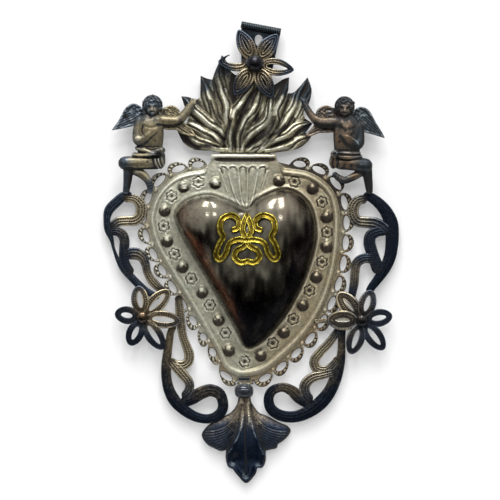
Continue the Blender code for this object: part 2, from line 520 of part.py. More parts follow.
def limb(name, points, floor):
    """A tapering rounded limb that is flat where it meets the floor plane."""
    line = evenly(smooth(on_drawing(points)), LIMB_STEP)
    sides = side_directions(line)
    ahead = np.column_stack([sides[:, 1], -sides[:, 0]])
    stations = [(index, 0.0, 1.0) for index in range(len(line))]
    stations.insert(0, (0, -LIMB_END_REACH, LIMB_END_SHARE))
    stations.append((-1, LIMB_END_REACH, LIMB_END_SHARE))

    def place(station, corner):
        index, shift, share = stations[station]
        x, y, depth, radius = line[index]
        turn = 2 * math.pi * (corner + 0.5) / LIMB_SIDES
        spot = np.array((x, y)) + ahead[index] * shift * radius
        spot = spot + sides[index] * math.cos(turn) * radius * share
        height = depth + math.sin(turn) * radius * share * LIMB_FLATNESS
        return Vector((spot[0], spot[1], max(height, floor)))

    return bent_grid(name, len(stations) - 1, LIMB_SIDES, place)


def polar(points):
    """Angle and distance of a closed outline, seen from the heart's centre."""
    curve = smooth(on_drawing(points), closed=True) - HEART_CENTRE
    angle = np.arctan2(curve[:, 1], curve[:, 0]) % (2 * math.pi)
    order = np.argsort(angle)
    return angle[order], np.hypot(curve[:, 0], curve[:, 1])[order]


def reach(outline, angle):
    """Distance from the heart's centre to an outline in one direction."""
    return np.interp(angle, outline[0], outline[1], period=2 * math.pi)


def at_angle(angle, distance):
    """The point of the drawing in this direction from the heart's centre."""
    return np.array(HEART_CENTRE) + np.array((math.cos(angle), math.sin(angle))) * distance


def heart_angles(count):
    """Directions that part the border's rim into even lengths."""
    curve = evenly(smooth(on_drawing(BORDER_RIM), closed=True), 1.0 * MM, closed=True) - HEART_CENTRE
    places = np.linspace(0, len(curve), count, endpoint=False).astype(int)
    return [math.atan2(curve[place][1], curve[place][0]) for place in places]


def offset_outline(outline, offset, angles):
    """The points of an outline in these directions, moved out from the heart's centre."""
    return [at_angle(angle, reach(outline, angle) + offset) for angle in angles]


def dome_ring(share, angle):
    """Distance from the heart's centre of the dome's contour at this share of the way out."""
    crown = 1 / math.hypot(math.cos(angle) / DOME_CROWN_WIDTH, math.sin(angle) / DOME_CROWN_HEIGHT)
    blend = (1 - share) ** 1.5
    return share * ((1 - blend) * reach(dome_edge, angle) + blend * crown)


def dome_height(share):
    """Height of the dome's contour at this share of the way out."""
    return DOME_RISE * (1 - share ** 2.3) ** 0.58


def dome_surface(spot):
    """Distance from the wall of the dome's outer face under a point of the drawing."""
    offset = np.array(spot) - HEART_CENTRE
    angle = math.atan2(offset[1], offset[0])
    shares = np.linspace(0.0, 1.0, 41)
    distances = [dome_ring(share, angle) for share in shares]
    share = np.interp(math.hypot(*offset), distances, shares)
    return DOME_BACK + dome_height(share)


def make_back_plate():
    """The heart-shaped plate that closes the hollow heart from behind."""
    edge = offset_outline(border_rim, -LACE_LAP - SEAT_GAP, heart_angles(HEART_STATIONS))
    finished("back_plate", "pale_brass", plate("back_plate", edge, 0.0, SHEET))


def lace_loop_angles():
    """Direction of the middle of each lace loop, anticlockwise from the top left."""
    spots = on_drawing(LACE_HOLES) - HEART_CENTRE
    return np.unwrap([math.atan2(y, x) for x, y in spots]).tolist()


def neighbour_gaps(angles, index):
    """Angles from a loop to the loops beside it: two, or one at the ends of the row."""
    others = [other for other in (index - 1, index + 1) if 0 <= other < len(angles)]
    return [abs(angles[index] - angles[other]) for other in others]


def lace_outline(angles):
    """Outer edge of the lace: a scallop for each loop, a tail under the tip and a tongue behind the neck."""
    edge = []
    for index, angle in enumerate(angles):
        gaps = neighbour_gaps(angles, index)
        half_back = min(gaps[0], LOOP_SKEW * gaps[-1]) / 2
        half_on = min(gaps[-1], LOOP_SKEW * gaps[0]) / 2
        for step in range(LOOP_STEPS + 1):
            share = 2 * step / LOOP_STEPS - 1
            turn = angle + share * (half_back if share < 0 else half_on)
            rise = LACE_DIP + (LACE_REACH - LACE_DIP) * math.sqrt(1 - share ** 2 * (1 - LOOP_NOTCH))
            edge.append(at_angle(turn, reach(border_rim, turn) + rise))
        if index == len(angles) // 2 - 1:
            edge.extend(tail_outline())
    edge.extend(on_drawing(LACE_TONGUE))
    return edge


def tail_outline():
    """The solid tail of the lace under the heart's tip, where the slot is."""
    offset = on_drawing(SLOT_MIDDLE) - HEART_CENTRE
    middle = math.atan2(offset[1], offset[0])
    half_turn = math.asin(TAIL_WIDTH / 2 / (reach(border_rim, middle) + TAIL_REACH))
    return offset_outline(border_rim, TAIL_REACH, (middle - half_turn, middle + half_turn))


def lace_holes(angles):
    """One oval hole in each loop, and the slot in the tail."""
    holes = []
    depth = (LACE_REACH - LACE_BAND - LACE_INNER_BAND) / 2
    for index, angle in enumerate(angles):
        distance = reach(border_rim, angle) + LACE_INNER_BAND + depth
        length = min(neighbour_gaps(angles, index)) * distance / 2 - LACE_POST
        start, end = offset_outline(border_rim, 0.0, (angle, angle + TANGENT_PROBE))
        ahead = (end - start) / np.linalg.norm(end - start)
        holes.append(oval(at_angle(angle, distance), ahead, length, depth))
    slot = on_drawing(SLOT_MIDDLE)
    corners = ((-1, -1), (1, -1), (1, 1), (-1, 1))
    holes.append([slot + (a * SLOT_WIDTH / 2, b * SLOT_HEIGHT / 2) for a, b in corners])
    return holes


def oval(middle, ahead, length, depth):
    """The ring of an oval hole with its long axis ahead."""
    out = np.array((ahead[1], -ahead[0]))
    turns = [2 * math.pi * step / HOLE_SIDES for step in range(HOLE_SIDES)]
    return [middle + ahead * math.cos(turn) * length + out * math.sin(turn) * depth for turn in turns]


def make_lace():
    """The pierced lace plate that frames the heart, lying in the plane of the back plate."""
    angles = lace_loop_angles()
    inner = offset_outline(border_rim, -LACE_LAP, heart_angles(HEART_STATIONS))
    lace = plate("lace_gallery", lace_outline(angles), 0.0, SHEET, [inner, *lace_holes(angles)])
    finished("lace_gallery", "pale_brass", lace)


def border_band():
    """The flat band round the dome, with a bead beside the dome and a raised rim outside."""
    angles = heart_angles(HEART_STATIONS)
    front = SECOND_FRONT
    section = (
        ("dome", -DOME_SEAT_WIDTH, SECOND_BACK), ("dome", -DOME_SEAT_WIDTH, front),
        ("dome", DOME_BEAD_OFFSET - BEAD_WIDTH, front), ("dome", DOME_BEAD_OFFSET, front + BEAD_RISE),
        ("dome", DOME_BEAD_OFFSET + BEAD_WIDTH, front), ("rim", -RIM_INSET - RIM_WIDTH, front),
        ("rim", -RIM_INSET, front + RIM_RISE), ("rim", -RIM_INSET + RIM_WIDTH, front),
        ("rim", 0.0, SECOND_BACK + SHEET / 2), ("rim", 0.0, SECOND_BACK),
    )

    def place(station, corner):
        guide, offset, depth = section[corner]
        outline = dome_edge if guide == "dome" else border_rim
        spot = at_angle(angles[station], reach(outline, angles[station]) + offset)
        return Vector((spot[0], spot[1], depth))

    return bent_grid("border_band", len(angles), len(section), place, loop=True)


def border_spots():
    """Places of the studs and flowerets: even steps along the middle of the band, from neck to neck."""
    line = []
    first = math.radians(FIRST_STUD_DIRECTION)
    last = math.radians(LAST_STUD_DIRECTION) + 2 * math.pi
    for angle in np.linspace(first, last, STUD_COUNT * CURVE_STEPS):
        inner = reach(dome_edge, angle) + DOME_BEAD_OFFSET
        outer = reach(border_rim, angle) - RIM_INSET
        line.append(at_angle(angle, (inner + outer) / 2))
    spots = evenly(np.array(line), 0.5 * MM)
    places = np.linspace(0, len(spots) - 1, STUD_COUNT).astype(int)
    return spots[places]


def stud(name, spot):
    """A half-round boss raised from the band."""
    bm = bmesh.new()
    bmesh.ops.create_uvsphere(bm, u_segments=STUD_SIDES, v_segments=STUD_RINGS, radius=STUD_RADIUS)
    bmesh.ops.translate(bm, verts=bm.verts, vec=(spot[0], spot[1], SECOND_FRONT))
    cut_flat(bm, SECOND_BACK + SHEET / 2)
    return mesh_object(name, bm)


def floweret(name, spot):
    """A small flower struck into the band."""
    ring = []
    for step in range(2 * FLOWERET_PETALS):
        turn = math.pi * step / FLOWERET_PETALS
        size = FLOWERET_RADIUS * (1 if step % 2 == 0 else FLOWERET_NOTCH)
        ring.append((spot[0] + math.cos(turn) * size, spot[1] + math.sin(turn) * size))
    back = SECOND_BACK + SHEET / 2
    return plate(name, ring, back, SECOND_FRONT - back + FLOWERET_RISE)


def neck_pieces():
    """The neck above the heart: its plate, five flutes that run down to the notch, and the lip on top."""
    pieces = [plate("neck_blank", on_drawing(NECK_OUTLINE), SECOND_BACK + LAYER_STEP, SHEET)]
    lip = [(x, y, LIP_WIDTH / MM) for x, y in LIP_LINE]
    pieces.append(ribbon("lip", lip, SECOND_BACK + 2 * LAYER_STEP, SCROLL_STEP, LIP_RISE))
    for number, top in enumerate(FLUTE_TOPS):
        points = []
        for way, spread, width, rise in FLUTE_TAPER:
            x = top * spread + FLUTE_FOOT[0] * way
            y = FLUTE_HEAD + (FLUTE_FOOT[1] - FLUTE_HEAD) * way
            points.append((x, y, FLUTE_WIDTH / MM * width, FLUTE_RISE / MM * rise))
        pieces.append(ribbon("flute_%d" % number, points, SECOND_BACK + 3 * LAYER_STEP, FLAME_STEP))
    return pieces


def make_border():
    """The border of the heart in one struck sheet: band, studs, flowerets and fluted neck."""
    pieces = neck_pieces()
    for number, spot in enumerate(border_spots()):
        maker = stud if number % 2 == 0 else floweret
        pieces.append(maker("border_relief_%d" % number, spot))
    combine("heart_border", "grey_brass", border_band(), pieces)


def make_dome():
    """The domed heart: one hollow shell, open behind, which stands on the inner edge of the border."""
    angles = heart_angles(HEART_STATIONS)
    turns = [math.pi / 2 * ring / (DOME_RINGS - 1) for ring in range(DOME_RINGS)]
    shares = [0.0, *[DOME_CROWN_SHARE + (1 - DOME_CROWN_SHARE) * math.sin(turn) for turn in turns]]
    path = [("outer", share) for share in shares] + [("inner", share) for share in reversed(shares[::2])]

    def place(station, corner):
        skin, share = path[station]
        angle = angles[corner]
        distance = dome_ring(share, angle)
        height = dome_height(share)
        if skin == "inner":
            distance *= 1 - DOME_WALL / reach(dome_edge, angle)
            height *= 1 - DOME_WALL / DOME_RISE
        spot = at_angle(angle, distance)
        return Vector((spot[0], spot[1], DOME_BACK + height))

    dome = bent_grid("heart_dome", len(path) - 1, len(angles), place)
    finished("heart_dome", "dark_dome", dome)


def dome_outward(spot):
    """Direction straight out of the dome's face under a point of the drawing."""
    slopes = []
    for probe in ((SLOPE_PROBE, 0.0), (0.0, SLOPE_PROBE)):
        rise = dome_surface(spot + probe) - dome_surface(spot - np.array(probe))
        slopes.append(rise / (2 * SLOPE_PROBE))
    return Vector((-slopes[0], -slopes[1], 1)).normalized()


def gilt_strip(name, points, width, level):
    """A strip of gilt metal that follows the dome at a small distance."""
    line = evenly(smooth(on_drawing(points)), GILT_STEP)
    sides = side_directions(line)
    section = GILT_SECTION

    def place(station, corner):
        across, lift = section[corner]
        spot = line[station] + sides[station] * across * width / 2
        distance = GILT_GAP + level + lift * GILT_THICKNESS
        return Vector((*spot, dome_surface(spot))) + dome_outward(spot) * distance

    return bent_grid(name, len(line) - 1, len(section), place)


def make_gilt_ornament():
    """A gilt openwork of mirrored curls that is fixed on the front of the dome."""
    strips = []
    for curl in GILT_CURLS:
        for side in (1, -1):
            points = [(GILT_AXIS + side * x, y) for x, y in curl]
            level = GILT_LEVEL_STEP * len(strips)
            strips.append(gilt_strip("gilt_curl_%d" % len(strips), points, GILT_WIDTH, level))
    combine("gilt_ornament", "gilt", strips[0], strips[1:])


def make_scrolls():
    """Four openwork scrolls, each of flat-backed ribbons that join at their ends."""
    layouts = {
        "upper_left_scroll": UPPER_LEFT_RIBBONS, "upper_right_scroll": UPPER_RIGHT_RIBBONS,
        "lower_left_scroll": LOWER_LEFT_RIBBONS, "lower_right_scroll": LOWER_RIGHT_RIBBONS,
    }
    for name, ribbons in layouts.items():
        strips = []
        for number, points in enumerate(ribbons):
            back = SECOND_BACK + LAYER_STEP * number
            strips.append(ribbon(name + "_%d" % number, points, back, SCROLL_STEP, SCROLL_CROWN))
        combine(name, "blue_black", strips[0], strips[1:])


def petal(name, middle, direction, length, width, band, hub, back, pointed):
    """One petal of a flower: a closed band round an open eye, arched along its length."""
    turn = math.radians(direction)
    ahead = np.array((math.cos(turn), math.sin(turn)))
    side = np.array((-ahead[1], ahead[0]))
    inner = hub * PETAL_ROOT_SHARE

    def ring_point(angle, inset):
        share = (1 - math.cos(angle)) / 2
        run = inner + inset + (length - inner - 2 * inset) * share
        sharpness = 1 - share ** 3 * pointed
        return run, math.sin(angle) * (width / 2 - inset) * sharpness

    def place(station, corner):
        across, lift = PETAL_SECTION[corner]
        angle = 2 * math.pi * station / PETAL_STATIONS
        run, offset = ring_point(angle, 0.0 if across > 0 else band)
        arch = PETAL_ARCH * math.sin(math.pi * min(run / length, 1.0)) ** 2
        spot = middle + ahead * run + side * offset
        return Vector((spot[0], spot[1], back + arch + lift * PETAL_THICKNESS))

    return bent_grid(name, PETAL_STATIONS, len(PETAL_SECTION), place, loop=True)


def disc(name, middle, radius, back, thickness, sides=ROUND_SIDES):
    """A round plate or a short pin."""
    bm = bmesh.new()
    bmesh.ops.create_cone(bm, cap_ends=True, segments=sides, radius1=radius, radius2=radius, depth=thickness)
    bmesh.ops.translate(bm, verts=bm.verts, vec=(middle[0], middle[1], back + thickness / 2))
    return mesh_object(name, bm)


def make_flower(name, layout, width, band, hub, back, pointed):
    """Six open petals round a hub with a hole for the ball's shank."""
    middle = on_drawing(layout[0])
    pieces = []
    for number, (direction, length) in enumerate(layout[1]):
        level = back + LAYER_STEP * number
        title = name + "_petal_%d" % number
        pieces.append(petal(title, middle, direction, length * MM, width, band, hub, level, pointed))
    hub_plate = disc(name + "_hub", middle, hub, back - LAYER_STEP, PETAL_THICKNESS)
    flower = combine(name, "bronze", hub_plate, pieces)
    depth = PETAL_THICKNESS + 3 * SHEET
    bore = disc(name + "_bore", middle, SHANK_RADIUS + SEAT_GAP, back - SHEET, depth, PIN_SIDES)
    combine(name, "bronze", flower, [bore], 'DIFFERENCE')


def make_ball(name, layout, radius, flower_back):
    """A hollow-looking ball that covers the middle of a flower, with its shank through the hub."""
    middle = on_drawing(layout[0])
    seat = flower_back + PETAL_THICKNESS + PETAL_ARCH * BALL_SEAT_ARCH + SEAT_GAP
    centre = seat + radius * BALL_SEAT_SHARE
    bm = bmesh.new()
    bmesh.ops.create_uvsphere(bm, u_segments=ROUND_SIDES, v_segments=ROUND_RINGS, radius=radius)
    bmesh.ops.translate(bm, verts=bm.verts, vec=(middle[0], middle[1], centre))
    cut_flat(bm, seat)
    ball = mesh_object(name, bm)
    shank = disc(name + "_shank", middle, SHANK_RADIUS, flower_back, centre - flower_back, PIN_SIDES)
    combine(name, "dark_ball", ball, [shank])


def make_flowers():
    """The two side flowers and the larger flower over the flames, each with its ball."""
    for name, layout in (("left_rosette", LEFT_FLOWER), ("right_rosette", RIGHT_FLOWER)):
        make_flower(name, layout, SIDE_PETAL_WIDTH, SIDE_BAND, SIDE_HUB_RADIUS, THIRD_BACK, 0.0)
        make_ball(name + "_ball", layout, SIDE_BALL_RADIUS, THIRD_BACK)
    make_flower("top_rosette", TOP_FLOWER, TOP_PETAL_WIDTH, TOP_BAND, TOP_HUB_RADIUS, TOP_FLOWER_BACK,
                TOP_PETAL_POINT)
    make_ball("top_rosette_ball", TOP_FLOWER, TOP_BALL_RADIUS, TOP_FLOWER_BACK)
    bar = [(x, y, BAR_WIDTH / MM) for x, y in BAR_ENDS]
    strip = ribbon("right_rosette_bar", bar, SECOND_BACK, SCROLL_STEP, SCROLL_CROWN)
    finished("right_rosette_bar", "pale_brass", strip)


def kept_low(x, y, width, height):
    """A point of a tongue, no higher than the flower's stand where the flower covers it."""
    middle, petals = TOP_FLOWER
    longest = max(length for direction, length in petals)
    if math.dist((x, y), middle) < longest:
        height = min(height, TOP_FLOWER_STAND / MM)
    return x, y, width, height


def make_flames():
    """The burst of flames: a cut plate with tongues raised from it."""
    base = plate("flame_blank", on_drawing(FLAME_PLATE), SECOND_BACK, SHEET)
    tongues = []
    for number, points in enumerate(FLAME_TONGUES):
        back = SECOND_BACK + LAYER_STEP * (number + 1)
        low_points = [kept_low(*point) for point in points]
        tongues.append(ribbon("tongue_%d" % number, low_points, back, FLAME_STEP))
    combine("flame_burst", "olive_brass", base, tongues)


def make_tab():
    """The hanging tab: a bent sheet with a rolled top edge and a hole for the nail."""
    sheet = plate("tab_blank", on_drawing(TAB_OUTLINE), 0.0, SHEET, [nail_hole()])
    start, end = on_drawing(TAB_OUTLINE[:2])
    length = math.dist(start, end)
    tilt = math.atan2(end[1] - start[1], end[0] - start[0])
    bm = bmesh.new()
    bmesh.ops.create_cone(bm, cap_ends=True, segments=ROUND_SIDES, radius1=ROLL_RADIUS,
                          radius2=ROLL_RADIUS, depth=length)
    roll = mesh_object("tab_roll", bm)
    roll.rotation_euler = (0.0, math.pi / 2, tilt)
    roll.location = (*((start + end) / 2), ROLL_RADIUS)
    combine("hanging_tab", "blue_black", sheet, [roll])


def nail_hole():
    """A drop-shaped hole under the roll, wider above than below."""
    middle = on_drawing(TAB_OUTLINE[:2]).mean(axis=0) - (NAIL_HOLE_SHIFT, NAIL_HOLE_DROP)
    ring = []
    for step in range(ROUND_SIDES):
        turn = 2 * math.pi * step / ROUND_SIDES
        half_width = NAIL_HOLE_WIDTH / 2 * (1 - NAIL_HOLE_TAPER * (1 - math.sin(turn)) / 2)
        ring.append(middle + (math.cos(turn) * half_width, math.sin(turn) * NAIL_HOLE_HEIGHT / 2))
    return ring


def make_leaf():
    """The hanging acanthus leaf, pressed from sheet, with a strap that runs up behind the collar."""
    rows = on_drawing(LEAF_ROWS)
    strap_middle = COLLAR_MIDDLE[0] * MM
    strap_top = min(y for x, y in tail_outline()) - SEAT_GAP
    strap = (strap_top, strap_middle - STRAP_WIDTH / 2, strap_middle + STRAP_WIDTH / 2, 0.0)
    rows = np.vstack([strap, rows])
    deepest = rows[:, 3].max()
    across = np.linspace(-1.0, 1.0, LEAF_COLUMNS + 1)
    section = [(u, 1) for u in across] + [(u, 0) for u in reversed(across)]

    def place(station, corner):
        y, left, right, stand = rows[station]
        u, front = section[corner]
        x = (left + right) / 2 + (right - left) / 2 * u
        swell = max(0.0, 1 - (u / LEAF_RIM_SHARE) ** 2)
        rib = LEAF_RIB_RISE * math.cos(LEAF_RIBS * 2 * math.pi * u) * swell * stand / deepest
        depth = (LEAF_RISE * stand / deepest) * swell ** 0.8 + abs(rib)
        return Vector((x, y, depth + SHEET * front))

    leaf = bent_grid("acanthus_leaf", len(rows) - 1, len(section), place)
    finished("acanthus_leaf", "blue_black", leaf)


def make_collar():
    """The round collar in front of the joint between the lace's tail and the leaf's strap."""
    middle = on_drawing(COLLAR_MIDDLE)
    bm = bmesh.new()
    bmesh.ops.create_uvsphere(bm, u_segments=ROUND_SIDES, v_segments=ROUND_RINGS, radius=1.0)
    bmesh.ops.scale(bm, verts=bm.verts, vec=(COLLAR_WIDTH / 2, COLLAR_HEIGHT / 2, COLLAR_RISE))
    bmesh.ops.translate(bm, verts=bm.verts, vec=(middle[0], middle[1], SECOND_BACK))
    cut_flat(bm, SECOND_BACK)
    finished("leaf_collar", "dark_ball", mesh_object("leaf_collar", bm))


def make_cherub(name, figure):
    """A cast cherub: head, trunk, limbs and cloth in the round, wings as thin plates, flat behind."""
    parts = []
    for part in ("head", "raised_arm", "bent_arm", "thigh", "shin", "far_leg", "cloth", "cloth_end"):
        floor = THIRD_BACK if part in ("shin", "far_leg") else BODY_BACK
        parts.append(limb(name + "_" + part, figure[part], floor))
    for wing in ("outer_wing", "inner_wing"):
        outline = on_drawing(figure[wing])
        parts.append(plate(name + "_" + wing, outline, BODY_BACK + LAYER_STEP, WING_THICKNESS))
    combine(name, "bronze", limb(name + "_torso", figure["torso"], BODY_BACK), parts)


clear_scene()
materials = {name: make_finish(name) for name in FINISHES}
drawing_board = bpy.data.objects.new("drawing_board", None)
drawing_board.rotation_euler = (math.pi / 2, 0.0, 0.0)
bpy.context.scene.collection.objects.link(drawing_board)
dome_edge = polar(DOME_EDGE)
border_rim = polar(BORDER_RIM)
make_back_plate()
make_lace()
make_border()
make_dome()
make_gilt_ornament()
make_scrolls()
make_flowers()
make_flames()
make_tab()
make_leaf()
make_collar()
make_cherub("left_putto", LEFT_CHERUB)
make_cherub("right_putto", RIGHT_CHERUB)
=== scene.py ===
# %% [markdown]
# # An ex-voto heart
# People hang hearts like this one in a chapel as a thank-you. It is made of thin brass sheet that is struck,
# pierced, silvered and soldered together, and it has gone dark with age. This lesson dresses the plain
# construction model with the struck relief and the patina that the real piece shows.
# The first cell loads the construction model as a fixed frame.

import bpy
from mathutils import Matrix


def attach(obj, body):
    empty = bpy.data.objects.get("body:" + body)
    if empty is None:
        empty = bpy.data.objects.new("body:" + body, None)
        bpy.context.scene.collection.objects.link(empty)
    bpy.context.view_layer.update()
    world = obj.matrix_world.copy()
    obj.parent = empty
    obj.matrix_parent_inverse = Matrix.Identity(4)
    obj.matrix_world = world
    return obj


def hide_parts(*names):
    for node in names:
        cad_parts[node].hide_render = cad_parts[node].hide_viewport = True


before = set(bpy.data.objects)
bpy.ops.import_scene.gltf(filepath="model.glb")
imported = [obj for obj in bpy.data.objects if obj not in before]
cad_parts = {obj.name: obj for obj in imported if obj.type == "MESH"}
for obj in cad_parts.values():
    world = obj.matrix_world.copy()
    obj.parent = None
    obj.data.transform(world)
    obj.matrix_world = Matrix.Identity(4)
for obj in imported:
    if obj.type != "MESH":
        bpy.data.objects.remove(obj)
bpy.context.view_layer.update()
print("frame:", len(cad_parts), "nodes")

# %% Imports and the unit of the drawing
import math

import bmesh
import bpy
import numpy as np
from mathutils import Matrix, Vector, noise

MM = 0.001
print("drawing unit:", MM, "m")

# %% [markdown]
# ## Drawing on the wall
# The ornament lies nearly flat, so it is easiest to draw it in millimetres as if on paper: x to the right,
# y up and depth away from the wall. Blender's world is in metres with Z up, so `on_wall` turns a drawn
# point into a world point. Smooth outlines come from Catmull-Rom curves, which pass through every drawn
# point. That keeps the lists short: a point is needed only where the outline turns.

# %% Curves through drawn points
CURVE_STEPS = 12


def on_wall(x, y, depth):
    """World points in metres from drawn millimetres."""
    return np.column_stack([x, -np.asarray(depth), y]) * MM


def smooth(points, closed=False):
    """Catmull-Rom curve through points with any number of values each."""
    points = np.array(points, float)
    before = np.roll(points, 1, axis=0)
    after = np.roll(points, -1, axis=0)
    beyond = np.roll(points, -2, axis=0)
    if not closed:
        before[0] = 2 * points[0] - points[1]
        beyond[-2] = 2 * points[-1] - points[-2]
    spans = len(points) if closed else len(points) - 1
    t = (np.arange(CURVE_STEPS) / CURVE_STEPS)[None, :, None]
    a, b, c, d = (ring[:spans, None, :] for ring in (before, points, after, beyond))
    bend = (2 * a - 5 * b + 4 * c - d) * t ** 2
    twist = (3 * b - a - 3 * c + d) * t ** 3
    curve = (0.5 * (2 * b + (c - a) * t + bend + twist)).reshape(-1, points.shape[1])
    return curve if closed else np.vstack([curve, points[-1:]])


def run_length(curve):
    """Distance along a curve at each of its points."""
    steps = np.linalg.norm(np.diff(curve[:, :2], axis=0), axis=1)
    return np.concatenate([[0.0], np.cumsum(steps)])


def evenly(curve, step, closed=False):
    """The same curve with points at even distances."""
    if closed:
        curve = np.vstack([curve, curve[:1]])
    distance = run_length(curve)
    count = max(2, round(distance[-1] / step))
    places = np.linspace(0.0, distance[-1], count + 1)
    if closed:
        places = places[:-1]
    return np.column_stack([np.interp(places, distance, column) for column in curve.T])


def left_of(line, closed=False):
    """Direction to the left of travel at each point of a line."""
    if closed:
        ahead = np.roll(line[:, :2], -1, axis=0) - np.roll(line[:, :2], 1, axis=0)
    else:
        ahead = np.gradient(line[:, :2], axis=0)
    ahead /= np.linalg.norm(ahead, axis=1)[:, None] + 1e-12
    return np.column_stack([-ahead[:, 1], ahead[:, 0]])


def ring_turns(count):
    """Directions at even steps once round a circle."""
    return np.linspace(0, 2 * np.pi, count, endpoint=False)


print("each drawn span becomes", CURVE_STEPS, "steps")

# %% [markdown]
# ## Measuring from a line
# Chasing follows lines: a bead beside the dome, a groove in a flame. So every relief here is a height that
# depends on how far a spot lies from a drawn line and how far along it. `beside` measures both for
# thousands of spots at once with numpy, which is much quicker than a Python loop.

# %% Distance across and along a line


def blocks(count, size=4000):
    """Slices that part many spots into blocks, so that a table of distances stays small."""
    return [slice(start, start + size) for start in range(0, count, size)]


def beside(x, y, line, closed=False):
    """Distance to the left of a line, along it and away from it, and the number of its nearest point."""
    sides = left_of(line, closed)
    ahead = np.column_stack([sides[:, 1], -sides[:, 0]])
    along = run_length(line)
    nearest = np.empty(len(x), int)
    for block in blocks(len(x)):
        gaps = (x[block, None] - line[:, 0]) ** 2 + (y[block, None] - line[:, 1]) ** 2
        nearest[block] = gaps.argmin(axis=1)
    offset = np.column_stack([x, y]) - line[nearest, :2]
    across = (offset * sides[nearest]).sum(axis=1)
    past = (offset * ahead[nearest]).sum(axis=1)
    overshoot = np.where((nearest == 0) | (nearest == len(line) - 1), np.abs(past), 0.0)
    if closed:
        overshoot[:] = 0.0
    return across, along[nearest] + past, np.hypot(across, overshoot), nearest


def near_spot(x, y, a, b, radius):
    """1 in the middle of a round spot, and less and less outside its radius."""
    return np.exp(-((x - a) ** 2 + (y - b) ** 2) / radius ** 2)


def step_up(value, low, high):
    """Smooth step from 0 to 1 between two values."""
    share = np.clip((value - low) / (high - low), 0.0, 1.0)
    return share * share * (3 - 2 * share)


def ridge(distance, width):
    """A rounded ridge of height 1 over a line."""
    return np.exp(-(distance / width) ** 2)


def round_top(value):
    """Height of a half circle: 1 at 0, and 0 from 1 and from -1 outwards."""
    return np.sqrt(np.clip(1 - value ** 2, 0, 1))


def speckle(x, y, size, seed=0.0):
    """Smooth random values between about -1 and 1, with spots of this size in millimetres."""
    return np.array([noise.noise((a / size, b / size, seed)) for a, b in zip(x, y)])


print("measuring in blocks of", blocks(1)[0].stop, "spots")

# %% [markdown]
# ## A sheet from one grid
# Each struck strip is a closed sheet of metal: a front that carries the relief, a back, and two thin edges.
# Blender's grid operator makes a flat net, and moving its points bends the net into that closed sheet. The
# long way round is the front, and the short way back is the rear side. Two values ride along on every
# point: `height`, which says whether a spot is a worn ridge or a dirty groove, and on some pieces also
# where painted shade or a painted highlight lies, and `warmth`, which says how golden the metal still is
# there. The materials read both, so the patina follows the relief.

# %% Bent sheets


def as_mesh(bm, name):
    """A new mesh with the shape of a bmesh, and its points as rows of x, y and z."""
    mesh = bpy.data.meshes.new(name)
    bm.to_mesh(mesh)
    places = np.empty(len(mesh.vertices) * 3)
    mesh.vertices.foreach_get("co", places)
    return mesh, places.reshape(-1, 3)


def closed_mesh(bm, mesh, points, height, warmth):
    """Writes places and values into the mesh, joins its seams, closes its ends and turns its faces out."""
    mesh.vertices.foreach_set("co", points.ravel())
    for name, values in (("height", height), ("warmth", warmth)):
        layer = mesh.attributes.new(name, 'FLOAT', 'POINT')
        layer.data.foreach_set("value", np.broadcast_to(values, len(points)).astype(np.float32))
    bm.clear()
    bm.from_mesh(mesh)
    bmesh.ops.remove_doubles(bm, verts=bm.verts, dist=0.002 * MM)
    bmesh.ops.delete(bm, geom=[edge for edge in bm.edges if edge.is_wire], context='EDGES')
    rims = [edge for edge in bm.edges if edge.is_boundary]
    if rims:
        bmesh.ops.holes_fill(bm, edges=rims, sides=0)
    bmesh.ops.recalc_face_normals(bm, faces=bm.faces)
    bm.to_mesh(mesh)
    bm.free()
    return mesh


def bent_sheet(along, front, back, place, loop=False):
    """Bends a grid into a closed sheet. place(s, t, is_front) gives x, y, depth, height and warmth.

    s runs from 0 to 1 along the sheet, and t from -1 to 1 across its front or its back.
    """
    around = front + back + 2
    bm = bmesh.new()
    bmesh.ops.create_grid(bm, x_segments=along, y_segments=around, size=0.5)
    mesh, flat = as_mesh(bm, "sheet")
    station = np.rint((flat[:, 0] + 0.5) * along).astype(int)
    corner = np.rint((flat[:, 1] + 0.5) * around).astype(int) % around
    is_front = corner <= front
    t = np.where(is_front, corner / front, (around - 1 - corner) / back) * 2 - 1
    s = (station % along if loop else station) / along
    x, y, depth, height, warmth = place(s, t, is_front)
    return closed_mesh(bm, mesh, on_wall(x, y, depth), np.clip(height, 0, 1), warmth)


# %% Finished pieces


def linked(name, data):
    """A new object in the scene."""
    item = bpy.data.objects.new(name, data)
    bpy.context.scene.collection.objects.link(item)
    return item


def piece(name, meshes, material, node, angle=50):
    """Joins meshes into one finished object that rides on the frame and stands for its node."""
    bm = bmesh.new()
    for part in meshes:
        bm.from_mesh(part)
        bpy.data.meshes.remove(part)
    mesh = as_mesh(bm, name)[0]
    bm.free()
    mesh.shade_smooth()
    mesh.set_sharp_from_angle(angle=math.radians(angle))
    mesh.materials.append(material)
    item = linked(name, mesh)
    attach(item, "root")
    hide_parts(node)
    print(name, len(mesh.polygons), "faces")


print("nodes to dress:", len(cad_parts))

# %% [markdown]
# ## The camera
# The photograph looks straight at the ornament, so the camera stands square to the wall. A long lens keeps
# the drawing true. The frame is 250 mm wide at the ornament, and the picture's middle lies 2 mm to the
# right of the heart's middle line.

# %% Camera
FRAME_WIDTH = 250 * MM
LENS = 135.0
SENSOR = 36.0
PICTURE_MIDDLE = 2.0 * MM
SUBJECT_DEPTH = 2 * MM

camera_data = bpy.data.cameras.new("camera")
camera_data.lens = LENS
camera_data.sensor_width = SENSOR
camera = linked("camera", camera_data)
camera.location = (PICTURE_MIDDLE, -SUBJECT_DEPTH - FRAME_WIDTH * LENS / SENSOR, 0.0)
camera.rotation_euler = (math.pi / 2, 0.0, 0.0)
bpy.context.scene.camera = camera
print("camera at", tuple(round(value, 3) for value in camera.location))

